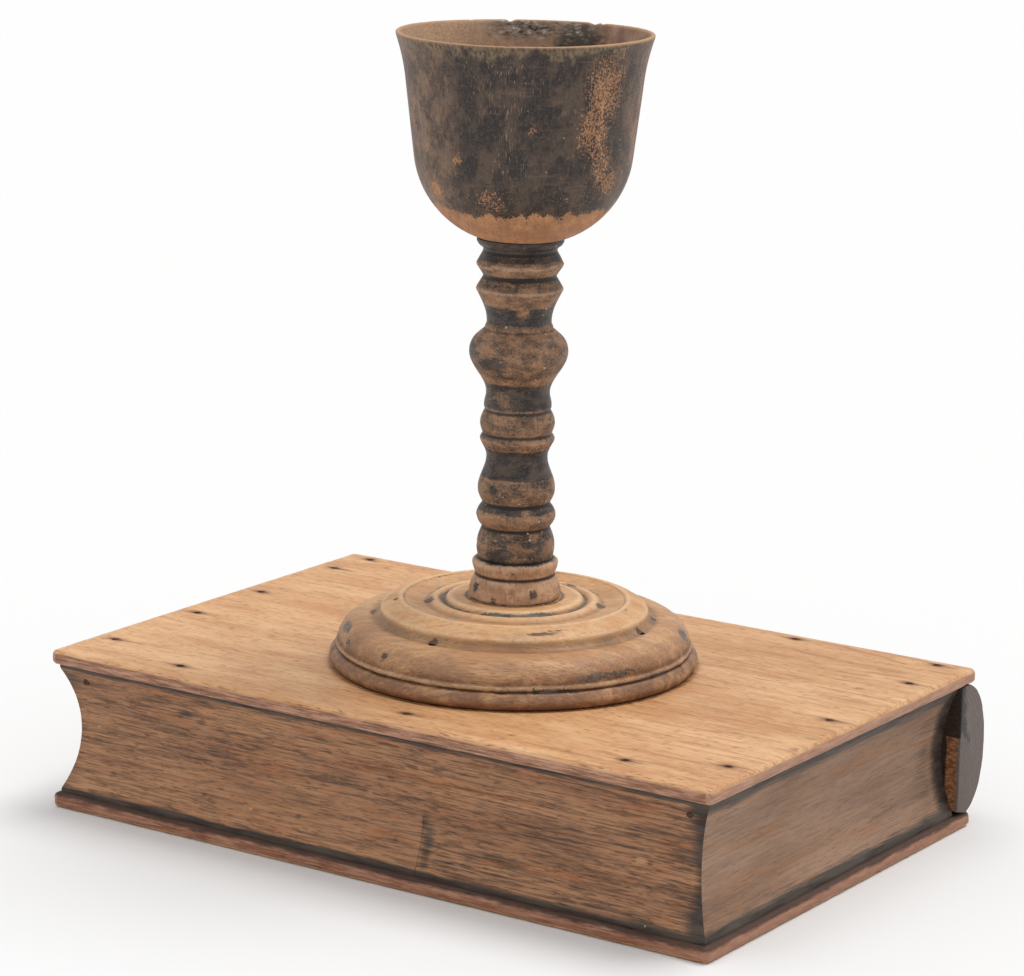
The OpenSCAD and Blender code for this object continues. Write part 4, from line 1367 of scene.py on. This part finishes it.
def foot_material():
    material, tree, shader = new_material("foot_wood")
    place = grain_vector(tree, -24)
    grain = use(tree, "grain", {"Vector": place, "Figure Width": 7.0, "Wander": 2.4, "Seed": 0.53})
    residue, dark, sunk, proud = [value_of(tree, n) for n in ("residue", "dark", "sunk", "proud")]
    wood = mix(tree, ease(tree, grain["Tone"], 0.35, 0.65), tone("b07d54"), tone("daab7c"))
    wood = mix(tree, reckon(tree, "MULTIPLY", grain["Figure"], 0.55), wood, tone("8f5c38"))
    wood = mix(tree, ease(tree, grain["Fibre"], 0.35, 1.0, 0.0, 0.42), wood, tone("94643f"))
    wood = mix(tree, reckon(tree, "MULTIPLY", grain["Pores"], 0.6), wood, tone("644128"))
    level = add_node(tree, "ShaderNodeSeparateXYZ", {0: add_node(tree, "ShaderNodeTexCoord").outputs["Object"]})
    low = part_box("foot")[0].z
    smudge = cloud(tree, scaled(tree, place, (15, 7, 7), 5), 4.0, 0.65)
    # Darker towards the bottom of the foot's sides, broken by smudges: painted shade below the light from above
    side = ease(tree, level.outputs[2], low + 31 * MM, low + 7 * MM, 0.12, 1.0)
    painted_low_shade = reckon(tree, "MULTIPLY", side, ease(tree, smudge, 0.3, 0.62, 0.4, 1.0))
    wood = mix(tree, painted_low_shade, wood, tone("704931"))
    # The upper, upward-facing part of the foot is lighter: painted light from above
    painted_top_light = ease(tree, level.outputs[2], low + 18 * MM, low + 34 * MM, 0.0, 0.42)
    wood = mix(tree, painted_top_light, wood, mix(tree, ease(tree, smudge, 0.35, 0.65), tone("d39c66"), tone("fbcf9a")))
    wood = mix(tree, ease(tree, smudge, 0.5, 0.72, 0.0, 0.45), wood, tone("86624a"))
    flake = cloud(tree, scaled(tree, place, (2.6, 1.3, 1.3), 7), 4.0, 0.68)
    # Dark in the grooves: dust and painted shade
    groove_dust_and_shade = reckon(tree, "MULTIPLY", sunk, ease(tree, smudge, 0.3, 0.55, 0.5, 1.0))
    wood = mix(tree, reckon(tree, "MULTIPLY", groove_dust_and_shade, 0.92), wood, tone("453325"))
    # Pale on the ridges: wear and a painted highlight
    ridge_wear_and_highlight = reckon(tree, "MULTIPLY", proud, ease(tree, flake, 0.3, 0.6, 0.2, 0.75))
    wood = mix(tree, ridge_wear_and_highlight, wood, tone("eccba2"))
    left = reckon(tree, "ADD", residue, swing(tree, flake, 0.7))
    mask = ease(tree, left, 0.56, 0.74)
    old = mix(tree, ease(tree, smudge, 0.35, 0.65), tone("2f2b27"), tone("6f675e"))
    colour = mix(tree, reckon(tree, "MULTIPLY", mask, 0.9), wood, old)
    # Dark marks, dents and nail stains, with the painted gap shadows
    blots_and_gap_shadows = ease(tree, reckon(tree, "ADD", dark, swing(tree, flake, 0.35)), 0.34, 0.75)
    colour = mix(tree, reckon(tree, "MULTIPLY", blots_and_gap_shadows, 0.85), colour, tone("3a271d"))
    height = add_up(tree, (grain["Fibre"], 0.5), (grain["Pores"], -0.5), (mask, 0.5), (flake, 0.3))
    finish_shader(tree, shader, colour, 0.47, height, 0.26)
    return material


def cover_material():
    material, tree, shader = new_material("cover_boards")
    place = grain_vector(tree, "X")
    grain = use(tree, "grain", {"Vector": place, "Figure Width": 9.0, "Wander": 5.0, "Seed": 0.0})
    stain_and_shadow, green, arris = [value_of(tree, n) for n in ("stain_and_shadow", "green", "arris")]
    top = mix(tree, ease(tree, grain["Tone"], 0.3, 0.7), tone("c79566"), tone("dcae80"))
    run = add_node(tree, "ShaderNodeSeparateXYZ", {0: place}).outputs[0]
    bold = ease(tree, run, 10 * MM, 150 * MM, 0.5, 0.95)
    top = mix(tree, reckon(tree, "MULTIPLY", grain["Figure"], bold), top, tone("95603a"))
    top = mix(tree, ease(tree, grain["Fibre"], 0.3, 1.0, 0.0, 0.34), top, tone("aa7448"))
    top = mix(tree, reckon(tree, "MULTIPLY", grain["Pores"], 0.75), top, tone("7d522f"))
    hair = cloud(tree, scaled(tree, place, (26, 0.7, 0.7), 7), 2.0, 0.55)
    top = mix(tree, ease(tree, hair, 0.6, 0.72, 0.0, 0.6), top, tone("8a5c38"))
    blush = cloud(tree, scaled(tree, place, (46, 16, 16), 9), 4.0, 0.6)
    top = mix(tree, ease(tree, blush, 0.5, 0.72, 0.0, 0.5), top, tone("b67c54"))
    fade = ease(tree, blush, 0.5, 0.3, 0.0, 0.5)
    top = mix(tree, fade, top, tone("dcb287"))
    parts = add_node(tree, "ShaderNodeSeparateXYZ", {0: place}).outputs
    end_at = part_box("top_cover")[1].x - 3.4 * MM
    ends = reckon(tree, "GREATER_THAN", reckon(tree, "ABSOLUTE", parts[0]), end_at)
    edgeways = add_node(tree, "ShaderNodeMix", {0: ends, 4: place, 5: reorder(tree, place, (1, 0, 2))},
                        data_type="VECTOR").outputs[1]
    streak = cloud(tree, scaled(tree, edgeways, (20, 0.9, 0.9), 1), 3.0, 0.62)
    dirt = cloud(tree, scaled(tree, edgeways, (14, 2.6, 2.6), 11), 4.0, 0.65)
    worn = mix(tree, ease(tree, dirt, 0.35, 0.62), tone("c29378"), tone("996b52"))
    worn = mix(tree, ease(tree, streak, 0.46, 0.7, 0.0, 0.7), worn, tone("5f3e2e"))
    worn = mix(tree, ease(tree, dirt, 0.6, 0.74, 0.0, 0.75), worn, tone("40302a"))
    worn = mix(tree, ease(tree, streak, 0.46, 0.32, 0.0, 0.7), worn, tone("cda587"))
    worn = mix(tree, reckon(tree, "MULTIPLY", ends, 0.5), worn, tone("b98f76"))
    base_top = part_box("bottom_cover")[1].z
    base = reckon(tree, "LESS_THAN", parts[2], base_top + 1 * MM)
    worn = mix(tree, reckon(tree, "MULTIPLY", base, 0.3), worn, tone("8a4a32"))
    # Near black on the bottom cover's ledge and just below its top, where the page edges stand: dirt and painted
    # shade
    uneven = reckon(tree, "ADD", parts[2], swing(tree, dirt, 0.9 * MM))
    ledge = ease(tree, uneven, base_top - 2.8 * MM, base_top - 1.0 * MM, 0.0, 0.85)
    worn = mix(tree, reckon(tree, "MULTIPLY", base, ledge), worn, tone("2b211d"))
    colour = mix(tree, ease(tree, arris, 0.25, 0.75), top, worn)
    # Stains, with the painted shadow round the foot, darken the colour
    mark = reckon(tree, "MULTIPLY_ADD", reckon(tree, "SUBTRACT", grain["Fibre"], 0.5), 0.35, stain_and_shadow)
    mark = reckon(tree, "MULTIPLY", mark, ease(tree, stain_and_shadow, 0.02, 0.12))
    colour = mix(tree, ease(tree, mark, 0.08, 0.8, 0.0, 0.7), colour, tone("7a4a2c"))
    colour = mix(tree, ease(tree, mark, 0.5, 1.0, 0.0, 0.85), colour, tone("32211a"))
    colour = mix(tree, reckon(tree, "MULTIPLY", green, 0.6), colour, tone("6f8a52"))
    height = add_up(tree, (grain["Fibre"], 0.35), (grain["Pores"], -0.5), (grain["Figure"], 0.25),
                    (reckon(tree, "MULTIPLY", streak, arris), 1.2))
    finish_shader(tree, shader, colour, ease(tree, arris, 0.0, 1.0, 0.5, 0.62), height, 0.24)
    return material


def page_material(name, along, seed):
    """Darkened page-edge wood: streaks along the grain, grime and painted shade in the corners and under the
    covers
    """
    material, tree, shader = new_material(name)
    place = grain_vector(tree, along)
    grain = use(tree, "grain", {"Vector": place, "Figure Width": 5.0, "Wander": 1.6, "Seed": seed,
                                "Shortness": 0.8})
    grime_and_shade, dark, pale, repair = [value_of(tree, n) for n in ("grime_and_shade", "dark", "pale", "repair")]
    if along == "X":
        tones = ("926448", "bb8962", "513b2e", "aa6d45", "2a2220")
        crisp = 1.0
    else:
        tones = ("84654f", "a8866d", "5b473b", "9f7250", "352e2b")
        crisp = 0.35
    low_tone, high_tone, line_tone, warm_tone, black_tone = [tone(t) for t in tones]
    wood = mix(tree, ease(tree, grain["Tone"], 0.3, 0.7), low_tone, high_tone)
    wood = mix(tree, reckon(tree, "MULTIPLY", grain["Figure"], 0.6 * crisp), wood, line_tone)
    streak = cloud(tree, scaled(tree, place, (38, 2.0, 2.0), 2), 5.0, 0.66)
    warmth = cloud(tree, scaled(tree, place, (60, 7, 7), 8), 4.0, 0.6)
    wood = mix(tree, ease(tree, warmth, 0.5, 0.68, 0.0, 0.8), wood, warm_tone)
    wood = mix(tree, ease(tree, streak, 0.48, 0.3, 0.0, 0.85 * crisp), wood, line_tone)
    wood = mix(tree, ease(tree, grain["Fibre"], 0.35, 1.0, 0.0, 0.6 * crisp), wood, line_tone)
    wood = mix(tree, reckon(tree, "MULTIPLY", grain["Pores"], 0.5 * crisp), wood, black_tone)
    blotch = cloud(tree, scaled(tree, place, (11, 3.0, 3.0), 15), 5.0, 0.7)
    wood = mix(tree, ease(tree, blotch, 0.54, 0.66, 0.0, 0.6 * crisp), wood, line_tone)
    wood = mix(tree, ease(tree, blotch, 0.44, 0.32, 0.0, 0.4), wood, high_tone)
    hair = cloud(tree, scaled(tree, place, (9, 0.55, 0.55), 12), 1.0, 0.5)
    wood = mix(tree, ease(tree, hair, 0.56, 0.72, 0.0, 0.4 * crisp), wood, tone("b49478"))
    wood = mix(tree, reckon(tree, "MULTIPLY", repair, 0.15), wood, high_tone)
    patch = cloud(tree, scaled(tree, place, (34, 6, 6), 5), 5.0, 0.62)
    worn = reckon(tree, "ADD", pale, swing(tree, patch, 0.3))
    wood = mix(tree, ease(tree, worn, 0.3, 0.9, 0.0, 0.85), wood, tone("c69d78"))
    # The film colour stands for grime and painted shade under the covers and in the corners, and for the dark
    # marks
    film = mix(tree, ease(tree, patch, 0.35, 0.65), tone("1f1c1b"), tone("474039"))
    soot_and_shade = reckon(tree, "MAXIMUM", grime_and_shade, reckon(tree, "MULTIPLY", dark, 0.85))
    soot_and_shade = reckon(tree, "ADD", soot_and_shade, swing(tree, patch, 0.3))
    soot_and_shade = reckon(tree, "ADD", soot_and_shade, reckon(tree, "MULTIPLY_ADD", grain["Fibre"], 0.24, -0.12))
    colour = mix(tree, ease(tree, soot_and_shade, 0.22, 0.85, 0.0, 0.94), wood, film)
    specks = use(tree, "marks", {"Vector": place, "Size": 4.2, "Share": 0.012})["Marks"]
    colour = mix(tree, reckon(tree, "MULTIPLY", specks, 0.7), colour, tone("d8ccbc"))
    height = add_up(tree, (grain["Fibre"], -0.6), (grain["Pores"], -0.6), (streak, 0.8),
                    (patch, 0.5), (hair, 0.4))
    finish_shader(tree, shader, colour, ease(tree, soot_and_shade, 0.3, 0.9, 0.6, 0.48), height, 0.34)
    return material


def spine_material():
    material, tree, shader = new_material("spine_wood")
    place = grain_vector(tree, "X")
    grain = use(tree, "grain", {"Vector": place, "Figure Width": 6.0, "Wander": 1.4, "Seed": 0.71})
    grime_and_shade, end, rub, recess_shade = [value_of(tree, n) for n in ("grime_and_shade", "end", "rub", "recess_shade")]
    side = mix(tree, ease(tree, grain["Tone"], 0.3, 0.7), tone("724c35"), tone("a3754f"))
    side = mix(tree, reckon(tree, "MULTIPLY", grain["Figure"], 0.7), side, tone("4d3628"))
    side = mix(tree, ease(tree, grain["Fibre"], 0.4, 1.0, 0.0, 0.7), side, tone("4f382b"))
    parts = add_node(tree, "ShaderNodeSeparateXYZ", {0: place}).outputs
    low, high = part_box("spine")
    raw = reckon(tree, "LESS_THAN", parts[1], low.y + 1.5 * MM)
    level = cloud(tree, scaled(tree, place, (3, 3, 1.2), 13), 3.0, 0.6)
    fresh = mix(tree, ease(tree, level, 0.4, 0.62), tone("a8714a"), tone("6e452b"))
    side = mix(tree, raw, side, fresh)
    dy = reckon(tree, "SUBTRACT", parts[1], low.y - 60 * MM)
    dz = reckon(tree, "SUBTRACT", parts[2], (low.z + high.z) / 2 - 30 * MM)
    ring = reckon(tree, "SQRT", add_up(tree, (reckon(tree, "MULTIPLY", dy, dy), 1.0),
                                       (reckon(tree, "MULTIPLY", dz, dz), 1.0)))
    bent = reckon(tree, "MULTIPLY_ADD", cloud(tree, scaled(tree, place, (9, 14, 14), 2)), 0.006, ring)
    rings = reckon(tree, "SINE", reckon(tree, "MULTIPLY", bent, 2500.0))
    growth = reckon(tree, "MULTIPLY_ADD", rings, 0.5, 0.5)
    speck = cloud(tree, scaled(tree, place, (1, 0.9, 0.9), 3), 3.0, 0.7)
    cut = mix(tree, reckon(tree, "MULTIPLY", growth, 0.35), tone("675b56"), tone("82756d"))
    cut = mix(tree, ease(tree, speck, 0.48, 0.72, 0.0, 0.5), cut, tone("4a413d"))
    worn = reckon(tree, "ADD", rub, swing(tree, speck, 0.25))
    cut = mix(tree, ease(tree, worn, 0.5, 0.95, 0.0, 0.6), cut, tone("94816a"))
    colour = mix(tree, end, side, cut)
    patch = cloud(tree, scaled(tree, place, (30, 6, 6), 5), 4.0, 0.62)
    # Grime, painted shade and the painted recess shade darken the sides, not the end
    grime_and_shade = reckon(tree, "MULTIPLY", grime_and_shade, reckon(tree, "MULTIPLY_ADD", end, -0.7, 1.0))
    soot_and_shade = reckon(tree, "ADD", reckon(tree, "MAXIMUM", grime_and_shade, recess_shade), swing(tree, patch, 0.25))
    colour = mix(tree, ease(tree, soot_and_shade, 0.45, 0.8, 0.0, 0.92), colour, tone("211d1b"))
    height = add_up(tree, (grain["Fibre"], -0.5), (grain["Pores"], -0.6), (speck, 0.5), (patch, 0.4))
    finish_shader(tree, shader, colour, ease(tree, recess_shade, 0.2, 0.8, 0.6, 0.35), height, 0.3)
    return material


def raw_material():
    """Sawn softwood of the pieces inside the box"""
    material, tree, shader = new_material("raw_sawn_wood")
    place = grain_vector(tree, "X")
    grain = use(tree, "grain", {"Vector": place, "Figure Width": 5.0, "Wander": 1.5, "Seed": 0.87})
    wood = mix(tree, grain["Tone"], tone("b58a5e"), tone("cfa87c"))
    wood = mix(tree, reckon(tree, "MULTIPLY", grain["Figure"], 0.5), wood, tone("996c42"))
    saw = cloud(tree, scaled(tree, place, (1.4, 30, 30), 4), 2.0, 0.5)
    wood = mix(tree, ease(tree, saw, 0.5, 0.7, 0.0, 0.25), wood, tone("8a6240"))
    height = add_up(tree, (saw, 1.0), (grain["Fibre"], 0.6))
    finish_shader(tree, shader, wood, 0.75, height, 0.3)
    return material


def iron_material():
    material, tree, shader = new_material("rusty_iron")
    place = grain_vector(tree, "X")
    rust = cloud(tree, scaled(tree, place, (1.2, 1.2, 1.2)), 4.0, 0.65)
    colour = mix(tree, ease(tree, rust, 0.4, 0.65), tone("33261f"), tone("6a4431"))
    finish_shader(tree, shader, colour, ease(tree, rust, 0.3, 0.7, 0.5, 0.85), rust, 0.4)
    shader.inputs["Metallic"].default_value = 0.35
    return material


def floor_material():
    material, tree, shader = new_material("pale_floor")
    shader.inputs["Base Color"].default_value = (0.76, 0.76, 0.762, 1)
    shader.inputs["Roughness"].default_value = 0.9
    shader.inputs["Specular IOR Level"].default_value = 0.1
    return material


# Stage


def make_camera():
    heading, dip, roll = [math.radians(a) for a in (CAMERA_HEADING, CAMERA_DIP, CAMERA_ROLL)]
    ahead = Vector((math.cos(heading) * math.cos(dip), math.sin(heading) * math.cos(dip), -math.sin(dip)))
    level = Vector((math.sin(heading), -math.cos(heading), 0))
    above = level.cross(ahead)
    right = level * math.cos(roll) + above * math.sin(roll)
    up = above * math.cos(roll) - level * math.sin(roll)
    data = bpy.data.cameras.new("camera")
    data.sensor_width = CAMERA_SENSOR
    data.lens = CAMERA_LENS
    camera = add_object("camera", data)
    turn = Matrix((right, up, -ahead)).transposed().to_4x4()
    camera.matrix_world = Matrix.Translation(CAMERA_PLACE) @ turn
    bpy.context.scene.camera = camera


def sun(name, heading, height, power, softness, colour=(1, 1, 1)):
    """Light from a heading, measured from +X towards +Y, at a height above the floor"""
    data = bpy.data.lights.new(name, "SUN")
    data.energy = power
    data.angle = math.radians(softness)
    data.color = colour
    light = add_object(name, data)
    light.rotation_euler = (0, math.radians(90 - height), math.radians(heading))


def make_stage():
    wide = 40.0
    corners = [(-wide, -wide, 0), (wide, -wide, 0), (wide, wide, 0), (-wide, wide, 0)]
    mesh = mesh_from("floor", corners, [[0, 1, 2, 3]])
    mesh.materials.append(floor_material())
    add_object("floor", mesh)
    world = bpy.data.worlds.new("studio")
    world.use_nodes = True
    sky = world.node_tree.nodes["Background"]
    sky.inputs["Color"].default_value = (0.975, 0.98, 0.985, 1)
    # The camera sees the sky as pale as the floor, so that no horizon shows
    seen = add_node(world.node_tree, "ShaderNodeLightPath").outputs["Is Camera Ray"]
    wire(world.node_tree, sky.inputs["Strength"], reckon(world.node_tree, "MULTIPLY_ADD", seen, 0.34, 0.68))
    bpy.context.scene.world = world
    sun("back_light", 58, 68, 1.7, 30, (1.0, 0.99, 0.975))
    sun("side_light", 215, 70, 0.5, 34, (1.0, 0.995, 0.99))
    bpy.context.scene.view_settings.view_transform = "Standard"


make_camera()
make_stage()
GROUPS = {"grain": grain_group(), "paint": paint_group(), "marks": marks_group()}
TREES = {"lathe": lathe_tree(), "nails": nail_tree()}
MATERIALS = {
    "bowl": bowl_material(), "stem": stem_material(), "foot": foot_material(), "cover": cover_material(),
    "page_long": page_material("page_edge_long", "X", 0.17),
    "page_end": page_material("page_edge_end", "Y", 0.43),
    "spine": spine_material(), "raw": raw_material(), "iron": iron_material()}

make_bowl()
make_stem()
make_foot()
for cover in (make_top_cover(), make_bottom_cover()):
    cover.data.materials.clear()
    cover.data.materials.append(MATERIALS["cover"])
make_fore_edge()
make_end_edge("tail_edge_board", 1, 41)
make_end_edge("head_edge_board", -1, 45)
make_spine()
make_nails("top_cover_nails", 2, (math.pi, 0, 0), 1)
make_nails("bottom_cover_nails", 2, (0, 0, 0), 2)
make_nails("foot_nails", 2, (math.pi, 0, 0), 3)
make_nails("corner_nails", 1, (-math.pi / 2, 0, 0), 4)
make_nails("strip_brads", 1, (-math.pi / 2, 0, 0), 5)
for name in ("tenon_bearer", "glue_blocks", "stem_wedge"):
    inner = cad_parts[name].data
    inner.materials.clear()
    inner.materials.append(MATERIALS["raw"])
